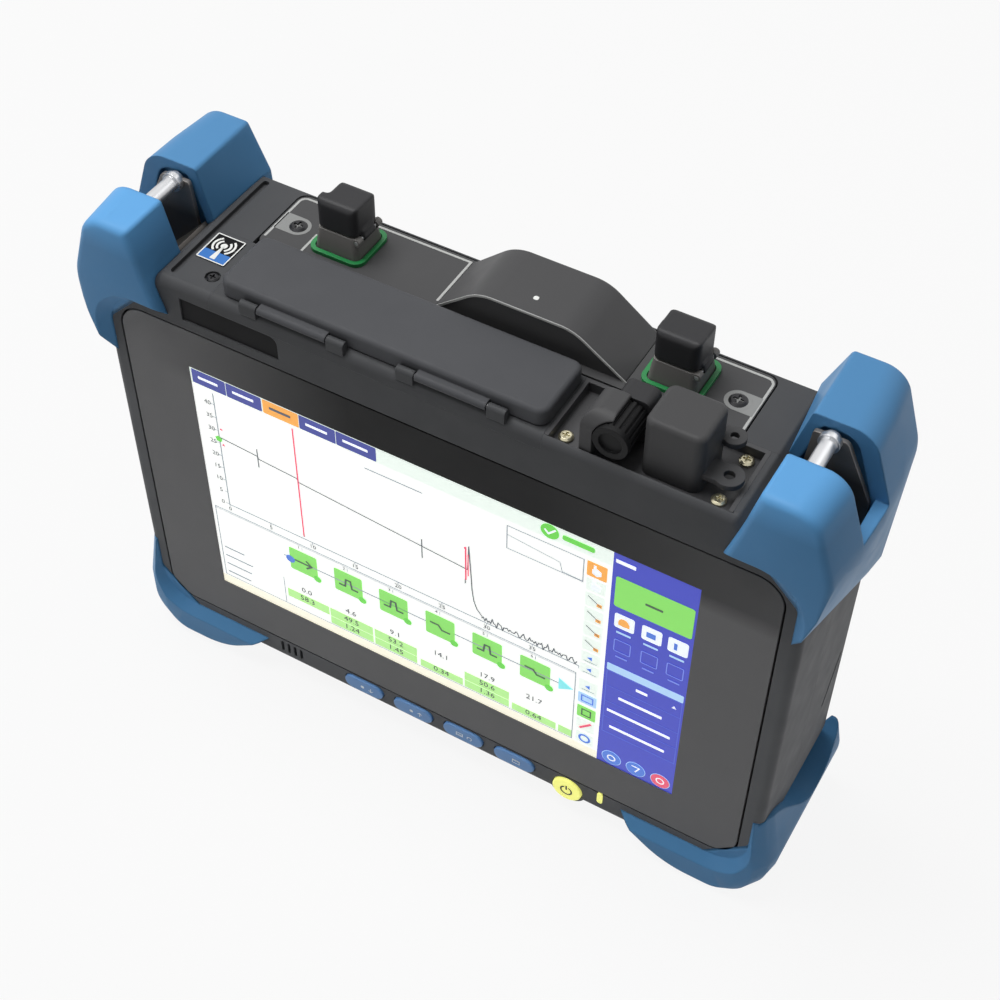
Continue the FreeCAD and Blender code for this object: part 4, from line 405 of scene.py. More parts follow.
DRESSES: dict[Finish, str] = {
    HOUSING: "front_housing rear_housing battery_cover kickstand",
    DECK_INSERT: "port_bay",
    PANEL: "screen_bezel",
    GLASS: "touch_screen",
    LCD_CAN: "lcd_module module_case",
    BRACKET: "strap_bracket_right strap_bracket_left",
    CHROME: "strap_bar_right strap_bar_left door_hinge_pins dust_cap_pins stand_pins",
    RUBBER: "upper_bumper_right upper_bumper_left lower_bumper_right lower_bumper_left",
    DOOR: "port_door",
    BOARD: "port_board module_board key_board main_board",
    SOCKET_METAL: "network_jack card_slot headset_jack usb_ports power_inlet",
    TRAY: "test_tray",
    GILT_SCREW: "tray_screws",
    DARK_SCREW: "module_screws cover_screws housing_screws deck_screw",
    CAP: "meter_port locator_port dust_cap_left dust_cap_right speaker",
    COVER: "meter_cap locator_hood",
    BLACK_CAP: "locator_cap",
    MODULE: "module_plate",
    HUMP: "module_hump",
    SEAL: "port_seal_left port_seal_right",
    PORT: "optical_port_left optical_port_right",
    KEY: "key_1 key_2 key_3 key_4",
    LAMP: "power_button status_led",
    WRAP: "battery_pack",
    RUBBER_FOOT: "stand_foot",
    LABEL: "antenna_label",
}


def dress(thing: Piece, finish: Finish) -> None:
    """Gives an object one finish in place of whatever it has."""
    thing.data.materials.clear()
    thing.data.materials.append(finish.material())


# ---- Tools for modelling ----


def deselect() -> None:
    """Leaves edit mode and deselects every object, so that an operator acts on the next one alone."""
    if bpy.context.object and bpy.context.object.mode != "OBJECT":
        bpy.ops.object.mode_set(mode="OBJECT")
    bpy.ops.object.select_all(action="DESELECT")


def take_up(piece: Piece) -> None:
    """Opens an object in edit mode with nothing else selected.

    Args:
        piece: the object.
    """
    if bpy.context.view_layer.objects.active != piece or piece.mode != "EDIT":
        deselect()
        bpy.context.view_layer.objects.active = piece
        piece.select_set(True)
        bpy.ops.object.mode_set(mode="EDIT")


def begin(name: str, mesh: bpy.types.Mesh | None = None) -> Piece:
    """Opens a new mesh object at the origin in edit mode.

    Args:
        name: the piece's name.
        mesh: its mesh, or none for an empty one.

    Returns:
        The object, active and in edit mode.
    """
    piece = bpy.data.objects.new(name, mesh or bpy.data.meshes.new(name))
    bpy.context.collection.objects.link(piece)
    take_up(piece)
    return piece


def fix(piece: Piece, body: str, slot: str, finish: Finish) -> Piece:
    """Closes a piece: dresses it and lets it ride on its body.

    Args:
        piece: the piece.
        body: body that carries it.
        slot: material slot of the record that it belongs to; not used.
        finish: its finish.

    Returns:
        The same piece.
    """
    if piece.mode != "OBJECT":
        bpy.ops.object.mode_set(mode="OBJECT")
    dress(piece, finish)
    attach(piece, body)
    log.info("%s: %d faces on %s", piece.name, len(piece.data.polygons), body)
    return piece


class Facing(Enum):
    """The way a flat print faces."""

    FRONT = (0.0, -1.0, 0.0)
    TOP = (0.0, 0.0, 1.0)

    def at(self, point: Point, level: float) -> Place:
        """Returns a point of the plane in metres, from its coordinates and its level in millimetres."""
        x, y, z = (*point, level) if self is Facing.TOP else (point[0], level, point[1])
        return x * MM, y * MM, z * MM

    def turn(self, angle: float) -> Place:
        """Returns the rotation that lays a flat primitive in the plane, turned by an angle within it."""
        return (0.0, 0.0, angle) if self is Facing.TOP else (math.pi / 2, -angle, 0.0)


@dataclass
class Print:
    """Flat shapes of one ink, drawn in edit mode on a plane and then given their thickness.

    Shapes are drawn in millimetres, or in units of the print's own that are counted from a corner.
    """

    name: str
    facing: Facing
    level: float  # its back along the facing axis
    thickness: float = 0.02  # thickness of the ink
    hair: float = 0.003  # step between shapes that may overlap
    hairs: int = 5  # steps before the first level comes again
    overlap: float = 0.7  # how far a line runs past its two ends together, as a share of its width
    corner: Point = (0.0, 0.0)  # where the units start
    unit: float = 1.0  # length of a unit
    upwards: int = 1  # minus one where the units are counted downwards

    def __post_init__(self) -> None:
        """Opens the mesh."""
        self.shapes = 0
        self.piece = begin(self.name)

    def spot(self, point: Point) -> Point:
        """Turns units into millimetres on the print's plane."""
        return self.corner[0] + point[0] * self.unit, self.corner[1] + self.upwards * point[1] * self.unit

    def _fresh(self) -> float:
        """Takes the print up for its next shape, with nothing in it selected.

        Shapes that overlap lie a hair apart, so that no two faces share one plane.

        Returns:
            The shape's level.
        """
        take_up(self.piece)
        bpy.ops.mesh.select_all(action="DESELECT")
        self.shapes += 1
        return self.level + sum(self.facing.value) * self.hair * (self.shapes % self.hairs)

    def _slab(self, low: Point, high: Point, corner: float = 0.0, angle: float = 0.0) -> None:
        """Draws a rectangle in millimetres.

        Args:
            low: one corner.
            high: the corner across.
            corner: radius of its corners.
            angle: turn about its middle.
        """
        level = self._fresh()
        middle = self.facing.at(((low[0] + high[0]) / 2, (low[1] + high[1]) / 2), level)
        bpy.ops.mesh.primitive_plane_add(size=MM, location=middle, rotation=self.facing.turn(0.0))
        wide, tall = abs(high[0] - low[0]), abs(high[1] - low[1])
        stretch = (wide, tall, 1) if self.facing is Facing.TOP else (wide, 1, tall)
        bpy.ops.transform.resize(value=stretch, center_override=middle)
        if corner:
            bpy.ops.mesh.bevel(offset=corner * MM, offset_type="OFFSET", affect="VERTICES", segments=4)
        if angle:
            axis, way = ("Z", -1) if self.facing is Facing.TOP else ("Y", 1)
            bpy.ops.transform.rotate(value=way * angle, orient_axis=axis, center_override=middle)

    def _hollow(self, width: float) -> None:
        """Leaves only a line along the selected face's outline."""
        bpy.ops.mesh.inset(thickness=width * self.unit * MM)
        bpy.ops.mesh.delete(type="FACE")

    def plate(self, low: Point, high: Point, corner: float = 0.0) -> None:
        """Draws a rectangle between two of its corners, with the radius given."""
        self._slab(self.spot(low), self.spot(high), corner * self.unit)

    def border(self, low: Point, high: Point, width: float, corner: float = 0.0) -> None:
        """Draws the outline of a rectangle, with its line inside the two corners given."""
        self.plate(low, high, corner)
        self._hollow(width)

    def disc(self, middle: Point, radius: float, sides: int = 24, angle: float = 0.0) -> None:
        """Draws a filled circle, or a polygon of few sides.

        Args:
            middle: its middle.
            radius: its radius.
            sides: number of its sides.
            angle: turn about its middle.
        """
        place = self.facing.at(self.spot(middle), self._fresh())
        bpy.ops.mesh.primitive_circle_add(vertices=sides, radius=radius * self.unit * MM, fill_type="NGON",
                                          location=place, rotation=self.facing.turn(angle))

    def ring(self, middle: Point, radius: float, width: float, sides: int = 32) -> None:
        """Draws a circle's line, whose outer radius is given."""
        self.disc(middle, radius, sides)
        self._hollow(width)

    def stroke(self, points: Iterable[Point], width: float) -> None:
        """Draws a line with butt ends and overlapping bends.

        Args:
            points: points that it runs through.
            width: its width.
        """
        spots = [self.spot(point) for point in points]
        width *= self.unit
        for start, end in zip(spots, spots[1:]):
            run = (end[0] - start[0], end[1] - start[1])
            length = math.hypot(*run) + width * self.overlap
            middle = ((start[0] + end[0]) / 2, (start[1] + end[1]) / 2)
            low = (middle[0] - length / 2, middle[1] - width / 2)
            high = (middle[0] + length / 2, middle[1] + width / 2)
            self._slab(low, high, angle=math.atan2(run[1], run[0]))

    def arc(self, middle: Point, radius: float, width: float, start: float, end: float, steps: int) -> None:
        """Draws part of a circle's line.

        Args:
            middle: middle of the circle.
            radius: radius of the line's middle.
            width: its width.
            start: angle where it starts, in degrees.
            end: angle where it ends.
            steps: number of its straight strokes.
        """
        points = []
        for step in range(steps + 1):
            angle = math.radians(start + (end - start) * step / steps)
            points.append((middle[0] + radius * math.cos(angle), middle[1] + radius * math.sin(angle)))
        self.stroke(points, width)

    def done(self, slot: str, finish: Finish, body: str = CHASSIS) -> Piece:
        """Gives the print its thickness and closes it.

        Args:
            slot: material slot of the record.
            finish: its finish.
            body: body that carries it.

        Returns:
            The finished piece.
        """
        take_up(self.piece)
        bpy.ops.mesh.select_all(action="SELECT")
        step = Vector(self.facing.value) * self.thickness * MM
        bpy.ops.mesh.extrude_region_move(TRANSFORM_OT_translate={"value": step})
        bpy.ops.mesh.select_all(action="SELECT")
        bpy.ops.mesh.normals_make_consistent(inside=False)
        return fix(self.piece, body, slot, finish)


MERGE = 0.004  # distance within which a copy's points are merged, in millimetres
FLAT = math.radians(1)  # greatest angle between two triangles that are one flat face
ANY = math.radians(180)  # angle that lets a flat face have any outline


def smooth_copy(node: str, angle: float) -> Piece:
    """Copies a node's mesh, merges it and shades it smooth.

    Args:
        node: name of the CAD node.
        angle: edges flatter than this many degrees are shaded smooth.

    Returns:
        The copy, which stands for the node.
    """
    piece = begin(f"{node}_skin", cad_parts[node].data.copy())
    bpy.ops.mesh.select_all(action="SELECT")
    bpy.ops.mesh.remove_doubles(threshold=MERGE * MM)
    bpy.ops.mesh.customdata_custom_splitnormals_clear()
    bpy.ops.mesh.tris_convert_to_quads(face_threshold=FLAT, shape_threshold=ANY)
    bpy.ops.object.mode_set(mode="OBJECT")
    bpy.ops.object.shade_smooth_by_angle(angle=math.radians(angle))
    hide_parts(node)
    return piece


# ---- The touch screen's picture ----


class Ink(Enum):
    """Inks of the screen's picture: colour code, and layer counted from the glass."""

    PAGE = ("fbfdfa", 0)
    BAR = ("e9f4ec", 1)
    CREAM = ("f6f1dc", 1)
    BLUE = ("2936b6", 1)
    MENU_BLUE = ("3a4fc4", 2)
    TAB = ("26338f", 2)
    ORANGE = ("f2a53f", 2)
    CELL = ("aee88a", 2)
    GREEN = ("7fd858", 3)
    LINE = ("8c949c", 3)
    SKY = ("a9cdf2", 3)
    TRACE = ("4a5058", 4)
    ICON = ("eef5fb", 4)
    ICON_BLUE = ("3b6fd0", 5)
    RED = ("e0476a", 5)
    LIME = ("5fce3c", 5)
    SYMBOL = ("2c4a35", 6)
    WHITE = ("f5f8ff", 6)
    AMBER = ("f2a53f", 5)
    CYAN = ("7fe0e6", 5)
    DIM = ("6f83dd", 4)

    def finish(self) -> Finish:
        """Returns the finish of the ink, which gives off part of its light itself."""
        return Finish(f"screen_{self.name.lower()}", self.value[0], 0.22, mottle=0.02, patch=60.0, grain=0.4,
                      depth=0.002, wear=0.0, edge=0.02, coat=0.25, glow=0.55, relief=Relief.SMOOTH)


@dataclass
class ScreenPicture:
    """The measurement page on the touch screen, in units right and down from its upper left corner."""

    columns: int = 800  # units across the screen
    rows: int = 480  # units down the screen
    lift: float = 0.03  # thickness of one layer, in millimetres
    clear: float = 0.005  # room between the glass and the lowest layer, in millimetres
    figure_layer: int = 4  # layer that the figures lie in
    page_end: float = 675  # where the page ends and the side panel starts
    head: float = 31  # height of the head bar
    foot: float = 461  # where the foot strip starts
    axes: Point = (36, 275)  # where the axes cross
    first_tick: float = 60  # height of the uppermost tick
    ticks: Point = (75, 26.8)  # from one tick to the next, across and down
    events: tuple[float, ...] = (165, 246, 326, 407, 487, 567)  # middles of the event badges
    noisy: float = 478  # where the trace's noisy tail starts
    noise_step: float = 2.45  # run of one step of the tail
    noise_steps: int = 64  # number of its steps
    noise_floor: float = 268  # height round which it wanders
    swings: Point = (6.5, 3)  # how far its slow and its fast swing go
    link: float = 337  # height of the line that joins the badges
    tools: Point = (638, 668)  # left and right sides of the toolbar's boxes
    buttons: Point = (699, 779)  # middles of the outer two columns of the side panel
    figures: Place = (9, 12, 7)  # heights of the figures on the axes, in the table and over the badges

    def __post_init__(self) -> None:
        """Finds the screen's place and opens no ink yet."""
        low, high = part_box("touch_screen")
        self.corner = (low.x / MM, high.z / MM)
        self.unit = (high.x - low.x) / MM / self.columns
        self.face = low.y / MM - self.clear
        self.prints: dict[Ink, Print] = {}

    def on(self, *inks: Ink) -> Iterable[Print]:
        """Takes up inks, each of which is opened the first time.

        Args:
            inks: the inks.

        Returns:
            Their prints, in the same order.
        """
        for ink in inks:
            if ink not in self.prints:
                self.prints[ink] = Print(f"screen_{ink.name.lower()}", Facing.FRONT,
                                         self.face - ink.value[1] * self.lift,
                                         corner=self.corner, unit=self.unit, upwards=-1)
            yield self.prints[ink]

    def page(self) -> None:
        """Draws the white page, the head bar, the foot strip and the blue side panel."""
        page, bar, cream, blue = self.on(Ink.PAGE, Ink.BAR, Ink.CREAM, Ink.BLUE)
        page.plate((0, 0), (self.columns, self.rows))
        bar.plate((0, 0), (self.page_end, self.head))
        cream.plate((0, self.foot), (self.page_end, self.rows))
        blue.plate((self.page_end, 0), (self.columns, self.rows))

    def tabs(self) -> None:
        """Draws the five tabs with a bare bar on each, and the green badge."""
        tab, white, orange, dark, lime = self.on(Ink.TAB, Ink.WHITE, Ink.ORANGE, Ink.TRACE, Ink.LIME)
        for left, right in ((3, 61), (62, 122), (124, 184), (185, 245), (246, 311)):
            ground, word = (orange, dark) if left == 124 else (tab, white)
            ground.plate((left, 3), (right, 30), 2)
            word.plate((left + 11, 13), (right - 13, 18), 1)
        lime.disc((581, 16), 14)
        white.stroke(((574, 15), (579, 21), (589, 10)), 3)
        lime.plate((600, 11), (648, 21), 3)

    def plot(self) -> None:
        """Draws the axes, the trace with its noisy tail, the markers and the small overview."""
        line, trace, red, lime = self.on(Ink.LINE, Ink.TRACE, Ink.RED, Ink.LIME)
        x, y = self.axes
        line.stroke(((x, 38), (x, y), (636, y)), 2.0)
        for step in range(9):
            line.stroke([(end, self.first_tick + step * self.ticks[1]) for end in (x - 6, x)], 1.2)
            line.stroke([(x + step * self.ticks[0], end) for end in (y, y + 6)], 1.2)
        trace.stroke(((38, 127), (103, 132), (104, 137), (170, 142), (173, 149), (380, 167), (455, 173),
                      (457, 122), (460, 173), (462, 215), (465, 238), (470, 253), (self.noisy, 264)), 1.8)
        trace.stroke([self.tail(step) for step in range(self.noise_steps)], 1.8)
        for u, top, bottom, width in ((172, 38, 268, 2.4), (452, 126, 196, 2.6), (456, 140, 186, 1.8)):
            red.stroke(((u, top), (u, bottom)), width)
        for mark in ((42, 108), (42, 141), (451, 128)):
            red.disc(mark, 3.2, 3)
        lime.disc((35, 131), 6.5, 5)
        for u, top, bottom in ((103, 117, 155), (380, 152, 192), (172, 262, 270), (451, 196, 205)):
            trace.stroke(((u, top), (u, bottom)), 1.8)
        line.border((516, 41), (634, 89), 1.6)
        line.stroke(((518, 60), (598, 69), (602, 86), (632, 87)), 1.2)
        line.plate((290, 52), (384, 54))

    def tail(self, step: int) -> Point:
        """Works out the trace's noise.

        Args:
            step: step of the tail, counted from its start.

        Returns:
            The place of that step.
        """
        slow = self.swings[0] * math.sin(step * 2.4) * math.cos(step * 0.83 + 1)
        fast = self.swings[1] * math.sin(step * 5.1)
        return self.noisy + step * self.noise_step, self.noise_floor + slow + fast

    def events_row(self) -> None:
        """Draws the framed row of event badges, joined by a line."""
        line, green, lime, symbol = self.on(Ink.LINE, Ink.GREEN, Ink.LIME, Ink.SYMBOL)
        dot, arrow = self.on(Ink.ICON_BLUE, Ink.CYAN)
        line.border((6, 293), (633, 459), 1.6)
        line.stroke(((6, 297), (633, 297)), 0.9)
        line.stroke(((130, self.link), (628, self.link)), 2.4)
        pulse = ((-16, 7), (-6, 7), (-4, -9), (4, -9), (6, 8), (16, 8))
        drop = ((-16, -4), (-3, -4), (3, 5), (16, 5))
        start = ((-15, 0), (15, 0))
        for u, sign in zip(self.events, (start, pulse, pulse, drop, pulse, drop)):
            green.plate((u - 25, 311), (u + 25, 362), 3)
            lime.disc((u + 24, 360), 7)
            line.stroke(((u, 300), (u, 307)), 1.2)
            symbol.stroke([(u + du, self.link + dv) for du, dv in sign], 3.2)
            if sign is start:
                symbol.stroke([(u + du, self.link + dv) for du, dv in ((6, -8), (15, 0), (6, 8))], 3.2)
        dot.disc((141, self.link + 3), 8)
        arrow.disc((614, self.link), 16, 3, -math.pi / 2)

    def table(self) -> None:
        """Draws the table's green cells and bare row names."""
        cell, line = self.on(Ink.CELL, Ink.LINE)
        for left, right in ((128, 205), (207, 285), (288, 364), (448, 525)):
            cell.plate((left, 418), (right, 438))
        for left, right in ((207, 285), (288, 364), (370, 445), (448, 525), (530, 605), (609, 632)):
            cell.plate((left, 439), (right, 456))
        for v, right in ((387, 50), (407, 64), (427, 60), (447, 56)):
            line.plate((12, v - 1), (right, v + 2), 1)
        line.stroke(((123, 395), (123, 456)), 1.4)

    def toolbar(self) -> None:
        """Draws the column of small tools between the page and the side panel."""
        bar, orange, icon, trace = self.on(Ink.BAR, Ink.ORANGE, Ink.ICON, Ink.TRACE)
        blue, line, sky, green = self.on(Ink.ICON_BLUE, Ink.LINE, Ink.SKY, Ink.GREEN)
        symbol, red = self.on(Ink.SYMBOL, Ink.RED)
        boxes = ((40, 70), (74, 100), (103, 133), (136, 166), (168, 198), (201, 231), (234, 260), (262, 285),
                 (300, 330), (333, 358), (365, 393), (397, 425), (430, 458))
        grounds = {0: orange, 9: sky, 10: green}
        left, right = self.tools
        u = (left + right) / 2
        for index, (top, bottom) in enumerate(boxes):
            grounds.get(index, bar).plate((left, top), (right, bottom), 2)
            middle = (top + bottom) / 2
            if index < 2:
                icon.disc((u, middle + 3), 8, 6)
                icon.stroke(((u - 3, middle - 9), (u - 3, middle)), 4)
            elif index < 6:
                trace.stroke(((u - 10, middle - 6), (u + 9, middle + 7)), 1.4)
                orange.plate((u + 3, middle + 3), (u + 11, middle + 10))
            elif index < 9:
                blue.disc((u, middle), 5, 3, math.pi / 2)
                line.stroke(((u - 10, middle + 9), (u + 10, middle + 9)), 1.5)
        top, bottom = boxes[9]
        blue.border((u - 10, top + 5), (u + 10, bottom - 5), 2)
        top, bottom = boxes[10]
        symbol.border((u - 8, top + 6), (u + 8, bottom - 6), 2)
        middle = sum(boxes[11]) / 2
        red.stroke(((u - 8, middle + 9), (u + 8, middle - 8)), 4)
        blue.ring((u, sum(boxes[12]) / 2), 10, 3.5)

    def side_panel(self) -> None:
        """Draws the buttons of the blue side panel, with bare bars for their names."""
        white, green, symbol, icon, sky = self.on(Ink.WHITE, Ink.GREEN, Ink.SYMBOL, Ink.ICON, Ink.SKY)
        dim, amber, blue, menu, red = self.on(Ink.DIM, Ink.AMBER, Ink.ICON_BLUE, Ink.MENU_BLUE, Ink.RED)
        first, last = self.buttons
        white.plate((679, 12), (708, 19), 1)
        green.plate((681, 46), (796, 108), 4)
        symbol.plate((726, 75), (752, 79), 1)
        for u in (first, 740, last):
            icon.plate((u - 15, 121), (u + 15, 151), 4)
            sky.plate((u - 11, 159), (u + 11, 163), 1)
            dim.border((u - 13, 177), (u + 13, 204), 1.5, 3)
            dim.plate((u - 9, 213), (u + 9, 216), 1)
        amber.disc((698, 137), 8, 12)
        amber.plate((690, 136), (707, 144), 1)
        blue.plate((732, 132), (746, 143))
        blue.plate((773, 130), (778, 144))
        sky.plate((679, 236), (797, 252), 2)
        menu.border((679, 253), (797, 402), 1.6)
        for v, half in ((270, 9), (307, 34), (345, 50), (383, 44)):
            white.plate((735 - half, v - 3), (735 + half, v + 3), 1)
            menu.stroke(((680, v + 19), (796, v + 19)), 1.4)
        white.disc((785, 270), 4, 3)
        for u, button in ((first, blue), (739, blue), (last, red)):
            button.disc((u, 460), 15)
            sky.ring((u, 460), 16, 1.6)
        white.ring((first, 460), 7, 2)
        white.stroke(((733, 454), (745, 454), (739, 466)), 2)
        white.ring((last, 460), 7, 2)

    def numbers(self) -> None:
        """Sets the plain figures of the axes, the table and the badges."""
        level = self.face - self.figure_layer * self.lift
        figures = Figures("screen_figures", level, self.corner, self.unit)
        small, large, tiny = self.figures
        x, y = self.axes
        for step in range(9):
            figures.add(str(40 - 5 * step), (x - 12, self.first_tick + 4 + step * self.ticks[1]), small)
            if step < 8:
                figures.add(str(5 * step), (x + step * self.ticks[0], y + 14), small)
        for v, row in ((411, "0.0 4.6 9.1 14.1 17.9 21.7"), (432, "58.3 49.5 53.2 - 50.6 -"),
                       (451, "- 1.24 1.45 0.34 1.36 0.64")):
            for u, value in zip(self.events, row.split()):
                if value != "-":
                    figures.add(value, (u, v), large)
        for index, u in enumerate(self.events):
            figures.add(str(index + 1), (u - 6, 306), tiny)
        figures.done(FIGURE)

    def build(self) -> None:
        """Draws the whole picture and closes every ink."""
        for part in (self.page, self.tabs, self.plot, self.events_row, self.table, self.toolbar,
                     self.side_panel):
            part()
        for ink, sheet in self.prints.items():
            sheet.done("screen_glass", ink.finish())
        self.numbers()


@dataclass
class Figures:
    """Plain figures set on the screen and made into one mesh."""

    name: str
    level: float  # their middle plane, in millimetres along Y
    corner: Point  # where the screen's units start
    unit: float  # length of a unit
    em: float = 1.35  # letter size that gives a figure a height of one
    lift: float = 0.01  # half the thickness of a figure

    def __post_init__(self) -> None:
        """Opens an empty list of figures."""
        self.texts: list[Piece] = []

    def add(self, value: str, spot: Point, size: float) -> None:
        """Sets one number.

        Args:
            value: its figures.
            spot: its middle on the baseline, in units.
            size: its height, in units.
        """
        deselect()
        place = self.corner[0] + spot[0] * self.unit, self.corner[1] - spot[1] * self.unit
        bpy.ops.object.text_add(location=Facing.FRONT.at(place, self.level), rotation=Facing.FRONT.turn(0.0))
        text = bpy.context.object
        text.data.body = value
        text.data.size = size * self.unit * self.em * MM
        text.data.align_x = "CENTER"
        text.data.extrude = self.lift * MM
        text.data.resolution_u = 2
        self.texts.append(text)

    def done(self, finish: Finish) -> Piece:
        """Makes the figures one mesh with its place in it, and closes it.

        Args:
            finish: its finish.

        Returns:
            The finished piece.
        """
        deselect()
        for text in self.texts:
            text.select_set(True)
        bpy.context.view_layer.objects.active = self.texts[0]
        bpy.ops.object.convert(target="MESH")
        bpy.ops.object.join()
        piece = bpy.context.object
        piece.name = self.name
        bpy.ops.object.transform_apply(location=True, rotation=True, scale=True)
        return fix(piece, CHASSIS, "screen_glass", finish)


# ---- Prints on the deck and the keys ----


@dataclass
class DeckPrints:
    """The pale lines round the module's two ports, and the pale fields beside its screws."""

    line: float = 0.7  # width of the border lines
    back: float = 21.6  # the border's far line, along Y
    corner: float = 2.0  # radius of the border's corners
    left: Point = (-67.2, -14.95)  # ends of the left border along X
    right: Point = (40.5, 71.4)  # ends of the right border along X
    near: Point = (4.8, 0.6)  # near ends of the two borders, along Y
    overrun: float = 1.2  # how far the outer line of the left border runs past its near end
    foot: Point = (44.6, 50.8)  # ends along X of the short line at the right border's near end
    tick: float = -55.5  # place along X of the short tick beside the left port
    tick_run: Point = (3.0, 10.4)  # ends of that tick, along Y
    field: float = 3.5  # half the width of a screw's field
    reach: Point = (5.6, -5.2)  # middle of each field's round end, from the border's outer line
    clear: float = 0.004  # room between the plate and the ink
    lift: float = 0.03  # thickness of the ink
    steps: int = 6  # strokes in each bend of a border
    sides: int = 32  # sides of a field's round end

    def _open(self, name: str) -> Print:
        """Opens a print on the module plate's face."""
        return Print(name, Facing.TOP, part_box("module_plate")[1].z / MM + self.clear, self.lift)

    def borders(self) -> None:
        """Draws the two borders and the short tick."""
        ink = self._open("deck_lines")
        side = self.back - self.corner
        outer, inner = self.left
        bend = outer + self.corner
        ink.stroke(((outer, self.near[0] - self.overrun), (outer, side)), self.line)
        ink.arc((bend, side), self.corner, self.line, 180, 90, self.steps)
        ink.stroke(((bend, self.back), (inner, self.back)), self.line)
        ink.stroke(((inner, self.back), (inner, self.near[0])), self.line)
        inner, outer = self.right
        bend = outer - self.corner
        ink.stroke(((inner, self.back), (bend, self.back)), self.line)
        ink.arc((bend, side), self.corner, self.line, 90, 0, self.steps)
        ink.stroke(((outer, side), (outer, self.near[1])), self.line)
        ink.stroke([(x, self.near[1]) for x in self.foot], self.line)
        ink.stroke([(self.tick, y) for y in self.tick_run], self.line)
        ink.done("module_plastic", LINE_GREY)

    def screw_fields(self) -> None:
        """Draws the pale fields beside the two module screws, each rounded towards the ports."""
        ink = self._open("screw_fields")
        low, high = (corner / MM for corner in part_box("module_screws"))
        middle = (low.y + high.y) / 2
        for outer, reach in zip((self.left[0], self.right[1]), self.reach):
            ends = sorted((outer, outer + reach))
            ink.plate((ends[0], middle - self.field), (ends[1], middle + self.field))
            ink.disc((outer + reach, middle), self.field, self.sides)
        ink.done("module_plastic", FIELD_GREY)

    def build(self) -> None:
        """Draws all deck prints."""
        self.borders()
        self.screw_fields()


@dataclass
class FrontPrints:
    """The bare dark field at the upper left of the front, and a painted shadow: a dark ring laid at the
    bottom of the gap round the bezel.
    """

    field: Point = (-75.6, -45.2)  # the field's ends along X
    above: Point = (3.6, 11.2)  # the field's lower and upper edges above the bezel
    play: float = 0.05  # room between the field and its recess
    sink: float = 0.5  # the field's floor behind the housing's front
    gap: float = 0.6  # width of the gap round the bezel
    under: float = 0.3  # how far the painted shadow at the gap's bottom runs under the bezel
    corner: float = 8.6  # radius of the gap's outer corners
    clear: float = 0.005  # room between the prints and what they lie on
    lifts: Point = (0.03, 0.05)  # thickness of the field and of the painted shadow in the gap

    def build(self) -> None:
        """Draws the field and the painted shadow at the bottom of the gap."""
        low, high = (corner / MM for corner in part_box("screen_bezel"))
        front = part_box("front_housing")[0].y / MM
        plate = Print("name_field", Facing.FRONT, front + self.sink - self.clear, self.lifts[0])
        plate.plate((self.field[0] + self.play, high.z + self.above[0] + self.play),
                    (self.field[1] - self.play, high.z + self.above[1] - self.play))
        plate.done("body_plastic", DARK_PLATE_AND_SHADOW)
        # painted shadow: a dark ring on the gap's floor stands for the shade in the gap round the bezel
        ring = Print("bezel_gap_painted_shadow", Facing.FRONT, high.y - self.clear, self.lifts[1])
        ring.border((low.x - self.gap, low.z - self.gap), (high.x + self.gap, high.z + self.gap),
                    self.gap + self.under, self.corner)
        ring.done("body_plastic", DARK_PLATE_AND_SHADOW)


@dataclass
class HumpTrim:
    """The pale line along the front top edge of the hump, and its small lamp."""

    width: float = 0.6  # width of the line
    down: float = 0.2  # share of that width by which the line's middle stands below the edge
    lift: float = 0.25  # thickness of the line's ink
    lamp: float = 1.4  # side of the lamp's rounded square
    corner: float = 0.5  # radius of the square's corners
    aside: float = 1.1  # the lamp's middle left of the hump's
    behind: float = 5.4  # the lamp's middle behind the hump's front
    height: float = 0.12  # height of the lamp, half of which stands out of the hump
    skin: float = 0.1  # depth behind the hump's front within which its points belong to the front face

    def profile(self) -> list[Point]:
        """Reads the hump's upper outline from its mesh, from left to right.

        Returns:
            X and Z of the outline's points on the front face, in millimetres.
        """
        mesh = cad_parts["module_hump"].data
        front = min(vertex.co.y for vertex in mesh.vertices)
        heights: dict[float, float] = {}
        for vertex in mesh.vertices:
            if vertex.co.y < front + self.skin * MM:
                x = round(vertex.co.x, 5)
                heights[x] = max(heights.get(x, -1.0), vertex.co.z)
        return [(x / MM, z / MM) for x, z in sorted(heights.items())]

    def build(self) -> None:
        """Draws the line as a thin band on the hump's front face, and sets the lamp."""
        low, high = (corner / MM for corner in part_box("module_hump"))
        outline = self.profile()
        ink = Print("hump_line", Facing.FRONT, low.y, self.lift)
        ink.stroke([(x, z - self.width * self.down) for x, z in outline], self.width)
        ink.done("module_plastic", LINE_GREY)
        crest = max(z for _, z in outline)
        rise = (high.z - crest) * self.behind / (high.y - low.y)
        place = ((low.x + high.x) / 2 - self.aside, low.y + self.behind)
        lamp = Print("hump_lamp", Facing.TOP, crest + rise - self.height / 2, self.height, corner=place)
        half = self.lamp / 2
        lamp.plate((-half, -half), (half, half), self.corner)
        lamp.done("module_plastic", LINE_WHITE)


